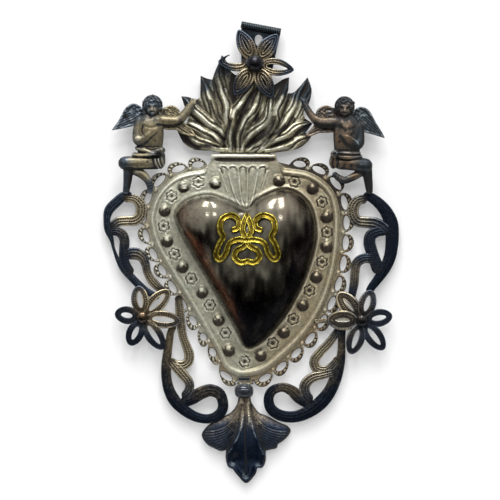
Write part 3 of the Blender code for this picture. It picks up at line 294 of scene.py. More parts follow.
# %% [markdown]
# ## Nodes in short
# Materials and the light of the room are node trees. Each helper here adds one node and gives back its
# output, so that a recipe further down reads like a sum. Colours are written from 0 to 255, as a paint
# program shows them, and turned into the linear values that Blender works with.

# %% Node helpers


def nodes_of(owner):
    """Empty node tree of a material or world, and its nodes."""
    owner.use_nodes = True
    tree = owner.node_tree
    tree.nodes.clear()
    return tree, tree.nodes


def linear(colour):
    """A colour written as red, green and blue from 0 to 255, in Blender's linear values."""
    shares = [value / 255 for value in colour]
    return (*[s / 12.92 if s <= 0.04045 else ((s + 0.055) / 1.055) ** 2.4 for s in shares], 1.0)


def feed(tree, node, values):
    """Links an output to each named input, or writes a plain value to it."""
    for name, value in values.items():
        if isinstance(value, bpy.types.NodeSocket):
            tree.links.new(value, node.inputs[name])
        else:
            node.inputs[name].default_value = value
    return node


def blended(tree, share, first, second, blend='MIX'):
    """First colour at share 0, second colour at share 1, or both multiplied."""
    mix = tree.nodes.new("ShaderNodeMix")
    mix.data_type = 'RGBA'
    mix.blend_type = blend
    return feed(tree, mix, {"Factor": share, "A": first, "B": second}).outputs["Result"]


def ranged(tree, value, low, high, start=0.0, end=1.0, easing='SMOOTHSTEP'):
    """A value eased from start to end while it runs from low to high."""
    node = tree.nodes.new("ShaderNodeMapRange")
    node.interpolation_type = easing
    inputs = {"Value": value, "From Min": low, "From Max": high, "To Min": start, "To Max": end}
    return feed(tree, node, inputs).outputs["Result"]


def summed(tree, operation, first, second):
    """Two values joined by one sum."""
    node = tree.nodes.new("ShaderNodeMath")
    node.operation = operation
    return feed(tree, node, {0: first, 1: second}).outputs[0]


def shaded(tree, share, first, second):
    """First shader at share 0, second shader at share 1."""
    return feed(tree, tree.nodes.new("ShaderNodeMixShader"), {0: share, 1: first, 2: second}).outputs[0]


print("white in linear values:", linear((255, 255, 255)))

# %% [markdown]
# ## Wall, floor and light
# The wall is white to the camera and in reflections, through Light Path, so that no extra light falls on
# the ornament to make it white. It is see-through from behind, which keeps the back of the ornament in
# view. The shadow stays, because the wall still shades as a plain surface. A tall window with four panes
# gives the pairs of bright squares on the dome's two lobes. The room before the ornament is dimmer and
# darkest below, so polished metal has something to reflect, and the light beside and behind the wall is
# even, so that the back is lit as well.

# %% Wall and floor
WALL_GAP = 2.5 * MM
FLOOR_HEIGHT = -0.45
FLOOR_DEPTH = 0.42


def backdrop_material(name, shadow_share, see_through):
    """White where the camera, glossy or transmitted rays look, but still darkened by the shadow."""
    material = bpy.data.materials.new(name)
    tree, nodes = nodes_of(material)
    plain = feed(tree, nodes.new("ShaderNodeBsdfDiffuse"), {"Color": (0.93, 0.93, 0.93, 1.0)}).outputs[0]
    white = nodes.new("ShaderNodeEmission").outputs[0]
    path = nodes.new("ShaderNodeLightPath").outputs
    seen = summed(tree, 'MAXIMUM', path["Is Camera Ray"], path["Is Glossy Ray"])
    seen = summed(tree, 'MAXIMUM', seen, path["Is Transmission Ray"])
    surface = shaded(tree, summed(tree, 'MULTIPLY', seen, 1 - shadow_share), plain, white)
    if see_through:
        clear = nodes.new("ShaderNodeBsdfTransparent").outputs[0]
        behind = nodes.new("ShaderNodeNewGeometry").outputs["Backfacing"]
        surface = shaded(tree, behind, surface, clear)
    feed(tree, nodes.new("ShaderNodeOutputMaterial"), {"Surface": surface})
    return material


def stage_sheet(name, material, width, height, place, turn):
    """A flat sheet of the stage."""
    bm = bmesh.new()
    bmesh.ops.create_grid(bm, x_segments=1, y_segments=1, size=0.5)
    bmesh.ops.scale(bm, verts=bm.verts, vec=(width, height, 1.0))
    mesh = as_mesh(bm, name)[0]
    bm.free()
    mesh.materials.append(material)
    item = linked(name, mesh)
    item.location = place
    item.rotation_euler = (turn, 0.0, 0.0)


wall_paint = backdrop_material("wall_white", 0.78, True)
floor_paint = backdrop_material("floor_white", 0.4, False)
floor_place = (0.0, WALL_GAP - FLOOR_DEPTH / 2, FLOOR_HEIGHT)
stage_sheet("wall", wall_paint, 1.6, 1.5, (0.0, WALL_GAP, 0.3), math.pi / 2)
stage_sheet("floor", floor_paint, 1.6, FLOOR_DEPTH, floor_place, 0.0)
print("wall", WALL_GAP, "m behind the ornament")

# %% Light of the room
LOW_LIGHT, HIGH_LIGHT = 0.08, 1.85
SIDE_LIGHT = 0.9
world = bpy.data.worlds.new("room")
bpy.context.scene.world = world
tree, nodes = nodes_of(world)
look = nodes.new("ShaderNodeTexCoord").outputs["Generated"]
axes = feed(tree, nodes.new("ShaderNodeSeparateXYZ"), {0: look}).outputs
before_wall = ranged(tree, axes["Z"], -0.3, 0.9, LOW_LIGHT, HIGH_LIGHT, 'LINEAR')
beside_wall = ranged(tree, axes["Y"], -0.6, 0.0)
strength = feed(tree, nodes.new("ShaderNodeMix"), {"Factor": beside_wall, "A": before_wall, "B": SIDE_LIGHT})
room = feed(tree, nodes.new("ShaderNodeBackground"), {"Strength": strength.outputs[0]})
sky = nodes.new("ShaderNodeBackground")
seen = nodes.new("ShaderNodeLightPath").outputs["Is Camera Ray"]
surroundings = shaded(tree, seen, room.outputs[0], sky.outputs[0])
feed(tree, nodes.new("ShaderNodeOutputWorld"), {"Surface": surroundings})
print("room light from", LOW_LIGHT, "to", HIGH_LIGHT)

# %% Window
WINDOW_DISTANCE = 1.3
PANE_RADIANCE = 16.5
# Each pane: height over the horizon and turn in degrees, then width and height in metres
PANES = ((58.0, -19.0, 0.22, 0.60), (58.0, 17.0, 0.22, 0.60), (27.0, -10.0, 0.15, 0.13),
         (27.0, 12.0, 0.15, 0.13))


def window_pane(elevation, turn, width, height):
    """A rectangular lamp at the window's distance that faces the ornament."""
    high, round_by = math.radians(elevation), math.radians(turn)
    aim = Vector((math.cos(high) * math.sin(round_by), -math.cos(high) * math.cos(round_by), math.sin(high)))
    data = bpy.data.lights.new("window_pane", 'AREA')
    data.shape = 'RECTANGLE'
    data.size = width
    data.size_y = height
    data.energy = PANE_RADIANCE * width * height * math.pi
    item = linked("window_pane", data)
    item.location = aim * WINDOW_DISTANCE
    item.rotation_euler = (-aim).to_track_quat('-Z', 'Y').to_euler()


for pane in PANES:
    window_pane(*pane)
bpy.context.scene.view_settings.view_transform = 'Standard'
print("window panes:", len(PANES))

# %% [markdown]
# ## Aged metal
# Old silvered brass is pale where hands and cloths reach it and nearly black in the grooves. One recipe
# makes nearly every finish here: the `height` of a spot picks between grime, body colour and worn metal,
# and on some pieces it also carries painted shade and painted highlights. `warmth` moves the body from cool
# silver to gold, and soft noise on Object coordinates breaks both up.
# Grime is also rougher and less metallic than the metal round it. A fine bump gives the surface its tiny
# dents.

# %% Recipe of the metals


def grain(tree, size, detail=3.0, stretch=(1.0, 1.0, 1.0)):
    """Noise on Object coordinates with spots of about this size in millimetres."""
    place = tree.nodes.new("ShaderNodeTexCoord").outputs["Object"]
    mapping = feed(tree, tree.nodes.new("ShaderNodeMapping"), {"Scale": stretch, "Vector": place}).outputs[0]
    inputs = {"Scale": 1 / (size * MM), "Detail": detail, "Vector": mapping}
    return feed(tree, tree.nodes.new("ShaderNodeTexNoise"), inputs).outputs["Fac"]


def carried(tree, name):
    """A value that the mesh carries."""
    node = tree.nodes.new("ShaderNodeAttribute")
    node.attribute_name = name
    return node.outputs["Fac"]


def metal_surface(tree, colour, metallic, roughness, bumps, strength, distance):
    """The shader that every metal ends in, with fine bumps of this distance in millimetres."""
    dents = {"Strength": strength, "Distance": distance * MM, "Height": bumps}
    normal = feed(tree, tree.nodes.new("ShaderNodeBump"), dents).outputs["Normal"]
    inputs = {"Base Color": colour, "Metallic": metallic, "Roughness": roughness, "Normal": normal}
    shader = feed(tree, tree.nodes.new("ShaderNodeBsdfPrincipled"), inputs)
    feed(tree, tree.nodes.new("ShaderNodeOutputMaterial"), {"Surface": shader.outputs[0]})


def aged_metal(name, cool, warm, grime, roughness=0.38, blotch=0.4, bump=0.35, blotch_size=9.0, metal=0.97):
    """A patinated metal. cool and warm are pairs: the body colour and the colour of its worn ridges."""
    material = bpy.data.materials.new(name)
    tree = nodes_of(material)[0]
    small = grain(tree, 1.3, 5.0)
    shift = summed(tree, 'MULTIPLY', summed(tree, 'SUBTRACT', grain(tree, blotch_size), 0.5), 2 * blotch)
    ragged = summed(tree, 'MULTIPLY', summed(tree, 'SUBTRACT', small, 0.5), 0.5)
    shifted = summed(tree, 'ADD', summed(tree, 'ADD', carried(tree, "warmth"), shift), ragged)
    golden = ranged(tree, shifted, 0.1, 0.9)
    body = blended(tree, golden, linear(cool[0]), linear(warm[0]))
    worn = blended(tree, golden, linear(cool[1]), linear(warm[1]))
    shade = blended(tree, ranged(tree, small, 0.3, 0.75), (0.72, 0.72, 0.72, 1.0), (1.12, 1.12, 1.12, 1.0))
    uneven = summed(tree, 'ADD', carried(tree, "height"), summed(tree, 'MULTIPLY', ragged, 0.5))
    clean = blended(tree, ranged(tree, uneven, 0.62, 0.98), blended(tree, 1.0, body, shade, 'MULTIPLY'), worn)
    cover = ranged(tree, uneven, 0.06, 0.46)
    colour = blended(tree, cover, linear(grime), clean)
    metallic = ranged(tree, cover, 0.0, 1.0, 0.45 * metal, metal)
    dull = ranged(tree, cover, 0.0, 1.0, 0.25, 0.0)
    rough = summed(tree, 'ADD', dull, summed(tree, 'MULTIPLY', small, 0.16))
    rough = summed(tree, 'ADD', rough, roughness - 0.08)
    bumps = summed(tree, 'ADD', small, grain(tree, 3.5, 2.0))
    metal_surface(tree, colour, metallic, rough, bumps, bump, 0.25)
    return material


silvered = aged_metal("silvered_brass", ((172, 172, 154), (226, 225, 208)),
                      ((152, 140, 112), (212, 202, 174)), (48, 38, 28), roughness=0.44, metal=0.5)
print("first finish:", silvered.name)

# %% [markdown]
# ## The struck border
# The border is one sheet of silvered brass with a row of bosses and tiny flowers struck from behind. A
# bead runs beside the dome and a ridge near the rim, and over the notch the sheet widens into a fluted
# neck. The sheet is bent from one grid in polar rings round the heart, so its net follows both outlines.
# All relief is one function of the place on the sheet, made of distances to the outlines and spots.

# %% Sheet layers and the heart's outlines
SHEET = 0.8
FIRST_FRONT = SHEET
SECOND_BACK = FIRST_FRONT + 0.3
SECOND_FRONT = SECOND_BACK + SHEET
DOME_BACK = SECOND_FRONT + 0.3
HEART_CENTRE = np.array((0.0, 4.0))

DOME_EDGE = (
    (0.3, 20.5), (-9, 24.3), (-18.6, 27.3), (-28.8, 25), (-34.8, 19), (-34.2, 13), (-27, -0.8),
    (-15, -21.2), (-4.6, -39.8), (-1.8, -46.2), (1.2, -48.8), (6.6, -46.4), (12.6, -41), (20.8, -30.4),
    (28.8, -15.2), (34, 1.6), (34.6, 12), (31.6, 22.6), (24, 29.2), (16, 29.8), (6, 25.2),
)
BORDER_RIM = (
    (0, 42), (-17.8, 40.6), (-33.7, 37.6), (-43.2, 30), (-47.4, 21), (-48.2, 13.5), (-44.4, 0.6),
    (-31.3, -21.7), (-15.4, -48.8), (-11.6, -57.6), (-6.6, -61.8), (-0.2, -63.2), (9.3, -60.8),
    (20.5, -52), (31.7, -40), (39.6, -26.5), (44.4, -12.1), (46.8, 3.8), (46.8, 19.8), (42.8, 30.9),
    (33, 38.4), (20.5, 40.9),
)
NECK_OUTLINE = ((-21.5, 40.4), (-18.4, 43.4), (-17.4, 45.0), (-17.2, 48.2), (14.8, 48.2), (15.4, 45.2),
                (16.6, 43.4), (20.0, 41.0))
dome_line = evenly(smooth(DOME_EDGE, closed=True), 0.8, closed=True)
rim_line = evenly(smooth(BORDER_RIM, closed=True), 0.8, closed=True)


def polar(line):
    """Direction and distance of an outline's points, seen from the heart's middle."""
    offset = line - HEART_CENTRE
    angle = np.arctan2(offset[:, 1], offset[:, 0]) % (2 * np.pi)
    order = np.argsort(angle)
    return angle[order], np.hypot(offset[:, 0], offset[:, 1])[order]


def reach(outline, angle):
    """Distance from the heart's middle to an outline."""
    return np.interp(angle, outline[0], outline[1], period=2 * np.pi)


dome_edge = polar(dome_line)
border_rim = polar(rim_line)
neck_edge = polar(evenly(np.array(NECK_OUTLINE), 0.3))
print("rim", round(run_length(rim_line)[-1]), "mm round")

# %% Bosses and flowerets
STUDS = (
    (-15.4, 33.6), (-31.3, 31.9), (-40.7, 20), (-39.4, 4.7), (-31.8, -8.2), (-22, -21), (-13.7, -34.8),
    (-8.4, -50), (7.3, -52.6), (18.9, -41), (28.4, -27.4), (35.2, -13.4), (40.3, 1.8), (40.3, 16.6),
    (33.3, 31), (16.5, 34.8),
)
# The first studs in the list have lost flakes of metal
FLAKED_STUDS = 2
FLOWERETS = (
    (-23.8, 33.9), (-37.2, 26.9), (-41.1, 11.9), (-35.8, -2.1), (-27.4, -14.4), (-18, -27.5),
    (-10.2, -41.5), (-0.7, -55.8), (13.4, -46.6), (23.6, -34.5), (31.7, -20.3), (38, -6), (40.5, 8.8),
    (38, 23.9), (24.3, 34.1),
)
STUD_RADIUS = 3.0
STUD_RISE = 2.3
FLOWERET_RADIUS = 3.55
print(len(STUDS), "bosses and", len(FLOWERETS), "flowerets")


def studs(x, y):
    """Height and cleanness that the bosses add, with painted shade on their lower halves and a painted
    highlight near their tops.
    """
    rise = np.zeros(len(x))
    clean = np.zeros(len(x))
    for number, (a, b) in enumerate(STUDS):
        r = np.hypot(x - a, y - b) / STUD_RADIUS
        near = r < 1.5
        below = (b - y) / STUD_RADIUS
        worn = step_up(-a, -16, 20)
        cap = round_top(r) * 0.8 + 0.2 * np.clip(1 - r, 0, 1)
        rise += np.where(near, cap * STUD_RISE * (0.94 + 0.06 * math.sin(5 * number)), 0)
        rise -= np.where(near, 0.14 * ridge(r - 1.1, 0.12), 0)
        # Each boss is darkened by speckled dirt, more on the right, and by painted shade on its lower half,
        # which lightens its upper half in turn.
        dirt_and_shade = 0.47 + 0.4 * np.clip(below, -1, 1) + 0.17 * (1 - worn) + 0.45 * speckle(x, y, 1.1, number)
        # crown is a painted highlight just above each boss's middle; on the flaked bosses it also brings out
        # the bare metal of the flake.
        crown = (0.3 + 0.3 * (1 - worn)) * ridge(np.hypot(x - a + 0.2, y - b - 1.0), 0.75)
        if number < FLAKED_STUDS:
            flake = step_up(1.3 - np.maximum(np.abs(x - a - 0.5), np.abs(y - b + 0.1)), 0.0, 0.5)
            rise -= 0.5 * number * flake
            crown = crown + 1.1 * flake
        clean += np.where(r < 1.0, crown - dirt_and_shade * step_up(1.0 - r, 0.0, 0.12), 0)
        # A dark ring lies at each boss's foot, and it is darker on the lower half as painted shade.
        clean -= np.where(near, (0.3 + 0.3 * np.clip(below, 0, 1)) * ridge(r - 1.04, 0.12), 0)
    return rise, clean


def flowerets(x, y):
    """Height and cleanness that the small flowers add."""
    rise = np.zeros(len(x))
    clean = np.zeros(len(x))
    for number, (a, b) in enumerate(FLOWERETS):
        turn = np.arctan2(y - b, x - a)
        lobes = np.abs(np.cos(3 * (turn - 0.5 - 0.1 * number)))
        r = np.hypot(x - a, y - b) / (FLOWERET_RADIUS * (0.72 + 0.28 * lobes ** 0.8))
        near = r < 1.7
        worn = step_up(-a, -16, 20)
        rise += np.where(near, 0.24 * ridge(r - 1.02, 0.14) - 0.26 * ridge(r - 0.79, 0.12)
                         + 0.36 * ridge(r - 0.53, 0.16) - 0.4 * ridge(r, 0.26), 0)
        clean += np.where(near, 0.3 * ridge(r - 1.02, 0.1) - (1.25 - 0.5 * worn) * ridge(r - 0.79, 0.12)
                          + 0.3 * ridge(r - 0.54, 0.12) - (1.5 - 0.75 * worn) * ridge(r, 0.28), 0)
    return rise, clean


# %% Fluted neck
FLUTE_FOOT = 21.0
FLUTE_SPREAD = 0.42
FLUTE_TOP = 42.3
FLUTE_BOUNDS = (-13.8, -9.2, -4.2, 0.9, 6.0, 11.2)
NECK_GROOVE = 45.3
LIP_MIDDLE = 46.9


def neck(x, y):
    """Height and cleanness of the flutes, the groove over them and the rolled lip, with painted shadow under
    the lip.
    """
    widen = np.clip((y - FLUTE_FOOT) / (FLUTE_TOP - FLUTE_FOOT), 0.02, 1.05) ** FLUTE_SPREAD
    spread = x / widen
    bounds = np.array(FLUTE_BOUNDS)
    flute = np.clip(np.searchsorted(bounds, spread) - 1, 0, len(bounds) - 2)
    middle = (bounds[flute] + bounds[flute + 1]) / 2
    half = (bounds[flute + 1] - bounds[flute]) / 2 * widen
    across = np.clip((spread - middle) * widen, -half, half)
    inset = half - np.hypot(across, np.maximum(y - FLUTE_TOP + half, 0))
    within = (spread > bounds[0]) & (spread < bounds[-1]) & (inset > -0.4) & (y > FLUTE_FOOT - 2)
    fade = step_up(y, 21.5, 30.0)
    rim = ridge(inset - 0.12, 0.3)
    hollow = ridge(inset - 0.75, 0.32) * (0.45 + 0.55 * step_up(y, 37.5, 39.5))
    crease = ridge(across, 0.28) * step_up(y, 25, 30) * step_up(39 - y, 0, 5)
    rise = np.where(within, (0.45 * rim - 0.45 * hollow - 0.25 * crease) * (0.3 + 0.7 * fade), 0)
    clean = np.where(within, 0.3 * rim - 1.0 * hollow - 0.3 * crease, 0)
    above = (y > 38) & (np.abs(x + 1) < 20)
    ragged = 0.25 * speckle(x, y * 0.2, 1.3, 8.0)
    # The groove under the lip is cut into the sheet and painted dark, and the band between the flutes and the
    # lip is painted darker too: painted shadow under the lip.
    groove = ridge(y - NECK_GROOVE + ragged, 0.75) * (1 - step_up(np.abs(x + 0.5), 14.0, 16.5))
    shadow_under_lip = step_up(y, 42.4, 44.6) * (1 - step_up(np.abs(x + 0.5), 12.0, 16.0)) * (y < 46.2)
    wander = 1.0 * speckle(x, 0 * y, 3.5, 3.0) + 0.6 * speckle(x, 0 * y, 1.4, 6.0)
    lip = round_top((y - LIP_MIDDLE + 0.4 * wander) / 1.05)
    lip *= np.sqrt(np.clip(1 - (np.abs(x + 1.2) / 16.6) ** 6, 0, 1))
    rise += np.where(above, 1.5 * lip - 0.35 * groove, 0)
    clean += np.where(above, (0.35 + 0.25 * wander) * lip - 1.0 * groove - 0.45 * shadow_under_lip, 0)
    return rise, clean


# %% The border sheet
BORDER_STATIONS = 1000
BORDER_FRONT = 60
BORDER_BACK = 5
INNER_LAP = 1.6


def border_relief(x, y):
    """Height over the sheet and cleanness at each place of the border."""
    outside_dome = -beside(x, y, dome_line, closed=True)[0]
    rim_side = beside(x, y, rim_line, closed=True)[0]
    near_neck = (1 - step_up(np.abs(x + 1), 13.5, 20.0)) * (y > 30)
    rim_in = rim_side + 20.0 * near_neck
    right = step_up(x, -12, 12)
    bead = 0.35 + 0.65 * step_up(x, -8, 14)
    rise = 0.7 * bead * ridge(outside_dome - 1.5, 0.9) - 0.2 * ridge(outside_dome - 0.3, 0.3)
    clean = 0.6 + 0.13 * step_up(y, 22, 34) * (1 - step_up(x, 6, 22))
    clean += 0.22 * bead * ridge(outside_dome - 1.6, 0.6) - 0.3 * (1 + bead) * ridge(outside_dome - 0.3, 0.35)
    clean -= 0.2 * bead * ridge(outside_dome - 3.1, 0.4) + 0.12 * step_up(speckle(x, y, 5.0, 21.0), 0.3, 1.2)
    wide = 1.0 * ridge(rim_in - 2.1, 1.1) - 0.22 * ridge(rim_in - 3.8, 0.5)
    fine = 0.5 * ridge(rim_in - 1.7, 0.7) - 0.12 * ridge(rim_in - 2.9, 0.3)
    rise += right * wide + (1 - right) * fine
    clean += right * (0.2 * ridge(rim_in - 2.2, 0.8) - 0.4 * ridge(rim_in - 3.8, 0.35)
                      - 0.35 * ridge(rim_in - 0.6, 0.4))
    clean += (1 - right) * (0.2 * ridge(rim_in - 1.6, 0.5) - 0.4 * ridge(rim_in - 2.95, 0.25)
                            - 0.25 * ridge(rim_in - 0.5, 0.35))
    rise -= 0.5 * step_up(0.9 - rim_in, 0.0, 0.9)
    for part in (studs, flowerets, neck):
        more, cleaner = part(x, y)
        rise += more
        clean += cleaner
    rise += 0.05 * speckle(x, y, 4.0) + 0.03 * speckle(x, y, 1.2, 5.0)
    return rise, clean


def border_place(s, t, is_front):
    """The border's net: polar rings from under the dome to the rim, wider at the neck."""
    stations = np.linspace(0, len(rim_line), BORDER_STATIONS, endpoint=False).astype(int)
    offset = rim_line[stations] - HEART_CENTRE
    fine = np.unwrap(np.arctan2(offset[:, 1], offset[:, 0]))
    steps = np.arange(BORDER_STATIONS + 1) / BORDER_STATIONS
    angle = np.interp(s, steps, np.append(fine, fine[0] + 2 * np.pi))
    inner = reach(dome_edge, angle) - INNER_LAP
    outer = reach(border_rim, angle)
    turned = angle % (2 * np.pi)
    over = (turned > neck_edge[0][0]) & (turned < neck_edge[0][-1])
    outer = np.where(over, np.maximum(outer, reach(neck_edge, turned)), outer)
    distance = inner + (outer - inner) * (t + 1) / 2
    x = HEART_CENTRE[0] + np.cos(angle) * distance
    y = HEART_CENTRE[1] + np.sin(angle) * distance
    depth = np.full(len(x), SECOND_BACK)
    clean = np.full(len(x), 0.5)
    rise, cleanness = border_relief(x[is_front], y[is_front])
    depth[is_front] = np.maximum(SECOND_FRONT + rise, SECOND_BACK + 0.3)
    clean[is_front] = cleanness
    warmth = 0.25 + 0.5 * step_up(x, -10, 30) + 0.12 * step_up(-y, 20, 55)
    return x, y, depth, clean, warmth


border_mesh = bent_sheet(BORDER_STATIONS, BORDER_FRONT, BORDER_BACK, border_place, loop=True)
piece("heart_border_struck", [border_mesh], silvered, "heart_border", angle=60)

# %% [markdown]
# ## The dome
# The heart itself is a hollow shell, raised over a stake until it stands 15 mm proud, and then polished.
# It is open behind, so it needs an inner skin too. The grid bends into both skins at once: its front runs
# from the crown to the foot, and its back returns inside. Its height is the sum of three joined swellings,
# one for each lobe and one for the middle, and one round shoulder brings them down to the outline. Faint
# dents, as hammered work always has, make the reflections of the window waver.

# %% Shape of the dome
DOME_RISE = 15.5
DOME_WALL = 0.9
CROWN_WIDTH = 27.0
CROWN_HEIGHT = 30.0
# Each swelling: height, middle x and y, and how wide and how tall it spreads
SWELLINGS = ((14.0, -18.0, 12.0, 22.0, 28.0), (14.0, 15.5, 9.0, 24.0, 32.0), (14.0, 1.0, -8.0, 40.0, 80.0))
SWELLING_JOIN = 0.7
SWELLING_TOP = 14.1
SHOULDER = (1.0, 3.0)
SHOULDER_CHANGE = (-15.0, 15.0)
fine_edge = evenly(dome_line, 0.4, closed=True)[:, :2]
edge_run = run_length(fine_edge)[-1] / len(fine_edge)


def dome_ring(share, angle):
    """Distance from the middle of the dome's contour at a share of the way out."""
    crown = 1 / np.hypot(np.cos(angle) / CROWN_WIDTH, np.sin(angle) / CROWN_HEIGHT)
    blend = (1 - share) ** 1.5
    return share * ((1 - blend) * reach(dome_edge, angle) + blend * crown)


def room_inside(x, y):
    """Distance to the dome's edge, rounded off where edges lie on both sides."""
    total = np.empty(len(x))
    for block in blocks(len(x)):
        squares = (x[block, None] - fine_edge[:, 0]) ** 2 + (y[block, None] - fine_edge[:, 1]) ** 2
        total[block] = (edge_run / np.maximum(squares, 1e-4)).sum(axis=1)
    return np.pi / total


def dome_height(x, y):
    """Height over the dome's foot: three joined swellings behind one round shoulder."""
    level = 0
    for height, a, b, wide, tall in SWELLINGS:
        fall = (x - a) ** 2 / (2 * wide) + (y - b) ** 2 / (2 * tall)
        level = level + np.exp(SWELLING_JOIN * (height - fall))
    level = np.log(level) / SWELLING_JOIN * DOME_RISE / SWELLING_TOP
    width = SHOULDER[1] + (SHOULDER[0] - SHOULDER[1]) * step_up(y, *SHOULDER_CHANGE)
    return level * np.sqrt(1 - np.exp(-room_inside(x, y) / width))


def dome_surface(x, y):
    """Distance from the wall of the dome's face."""
    return DOME_BACK + dome_height(x, y)


# %% The polished shell
DOME_STATIONS = 260
DOME_FRONT = 72
DOME_INSIDE = 14
DENT = 0.11
STREAK = evenly(smooth([(-28.5, 7.0), (-22.0, -4.0), (-15.0, -16.0), (-8.5, -29.0), (-4.0, -42.0)]), 0.8)


def dome_place(s, t, is_front):
    """The dome's net: the outer skin from the crown to the foot and the inner skin back."""
    angle = s * 2 * np.pi
    share = np.sin((t + 1) / 2 * np.pi / 2) ** 1.15
    distance = dome_ring(share, angle)
    outward = np.array([np.cos(angle), np.sin(angle)])
    height = dome_height(*(HEART_CENTRE[:, None] + outward * distance))
    height *= step_up(1 - share, 0.0, 0.004)
    distance = np.where(is_front, distance, distance * (1 - DOME_WALL / reach(dome_edge, angle)))
    height = np.where(is_front, height, height * (1 - DOME_WALL / DOME_RISE))
    x, y = HEART_CENTRE[:, None] + outward * distance
    dents = DENT * speckle(x, y, 9.0) + 0.3 * DENT * speckle(x, y, 3.0, 4.0)
    height = np.maximum(height + dents * np.clip(6 * (1 - share), 0, 1) - 2 * DENT, 0)
    across, along, gap = beside(x, y, STREAK)[:3]
    copper = 0.75 + 0.8 * speckle(along * 0.16, across, 0.75, 15.0)
    warmth = 0.9 * ridge(gap, 2.6) * copper + 0.4 * step_up(-x, 18, 34) * step_up(y, -5, 20)
    warmth *= step_up(y, -46, -26)
    warmth += 0.04 * step_up(y, -20, 5) + 0.25 * ridge(np.hypot(x - 19, y - 22), 8.0)
    streaks = speckle(x, y * 0.25, 2.2, 11.0) + 0.7 * speckle(x, y, 5.0, 12.0)
    # The dome is painted darker towards its foot, its bottom and its right side, and lighter on its upper
    # lobes: painted shade and painted light. The streaks are uneven tarnish.
    clean = 0.66 - 0.4 * step_up(share, 0.75, 1.0) - 0.85 * step_up(-y, 4, 34) - 0.3 * step_up(x, 10, 28)
    clean -= 0.35 * step_up(x, 15, 26) * step_up(-y, -16, 0)
    clean += 0.36 * step_up(y, 6, 24) * step_up(np.abs(x), 3.0, 14.0) + 0.3 * streaks
    # A dark patch on the left flank is painted shade that dims a reflection there.
    clean -= 0.6 * near_spot(x, y, -22.5, 1.0, math.sqrt(50))
    return x, y, DOME_BACK + height, clean, np.clip(warmth, 0, 1)


def tarnished_mirror(name):
    """Polished silver under a thin brown tarnish, with fine dark freckles."""
    material = bpy.data.materials.new(name)
    tree = nodes_of(material)[0]
    cloud = grain(tree, 7.0, 4.0, (1.0, 1.0, 0.55))
    freckle = grain(tree, 0.9, 4.0)
    uneven = summed(tree, 'MULTIPLY', summed(tree, 'SUBTRACT', cloud, 0.5), 0.65)
    # haze follows the dome's cleanness, so it carries the dome's painted shade and light as well as its
    # tarnish.
    haze = summed(tree, 'ADD', carried(tree, "height"), uneven)
    silver = blended(tree, ranged(tree, haze, 0.35, 1.05), linear((76, 73, 64)), linear((122, 118, 102)))
    dark = blended(tree, ranged(tree, haze, -0.05, 0.5), linear((10, 10, 13)), silver)
    red = summed(tree, 'MULTIPLY', carried(tree, "warmth"), ranged(tree, cloud, 0.3, 0.6, 0.35, 1.0))
    tinted = blended(tree, red, dark, linear((98, 60, 38)))
    spots = ranged(tree, freckle, 0.53, 0.66, 0.0, 0.62)
    colour = blended(tree, spots, tinted, linear((26, 22, 22)))
    metallic = ranged(tree, haze, 0.3, 0.8, 1.0, 0.45)
    dull = ranged(tree, haze, 0.1, 0.75, 0.26, 0.13)
    rough = summed(tree, 'ADD', dull, ranged(tree, spots, 0.0, 0.5, 0.0, 0.2))
    metal_surface(tree, colour, metallic, rough, freckle, 0.12, 0.1)
    return material


dome_mesh = bent_sheet(DOME_STATIONS, DOME_FRONT, DOME_INSIDE, dome_place, loop=True)
dome_finish = tarnished_mirror("tarnished_silver")
piece("heart_dome_raised", [dome_mesh], dome_finish, "heart_dome", angle=60)

# %% [markdown]
# ## The gilt ornament
# Small gilt curls are fixed over the middle of the dome. Each is a strip with two rolled edges and a
# hollow between them, bent to the dome's curve, and the right side mirrors the left. The strip is drawn flat
# and then stood on the dome along its normals, so it keeps the same small gap everywhere.

# %% Curls that follow the dome
GILT_AXIS = 0.6
GILT_GAP = 0.5
GILT_THICKNESS = 1.1
GILT_WIDTH = 3.3
# The share of the half width where the rolled edge begins
GILT_EDGE = 0.62
GILT_CURLS = (
    ((-1.2, -5.2), (3.2, -6.2), (6, -3.6), (5, -0.4), (1.8, 1.4), (-0.6, 4)),
    ((-1.6, 4.4), (4, 4.9), (8.6, 3.2), (10.2, -1.6), (13.2, -4.6), (15, -1.6), (13.8, 3), (12, 6.4),
     (13.6, 10.4), (12.6, 15), (8.2, 16.8), (4.4, 14.4), (4.8, 10.6), (8, 9.6)),
    ((0, 5.2), (2.2, 9), (1.6, 13), (-0.4, 17.4)),
)
PROBE = 0.2
# Columns across the front and the back of a strip
GILT_COLUMNS = (18, 4)


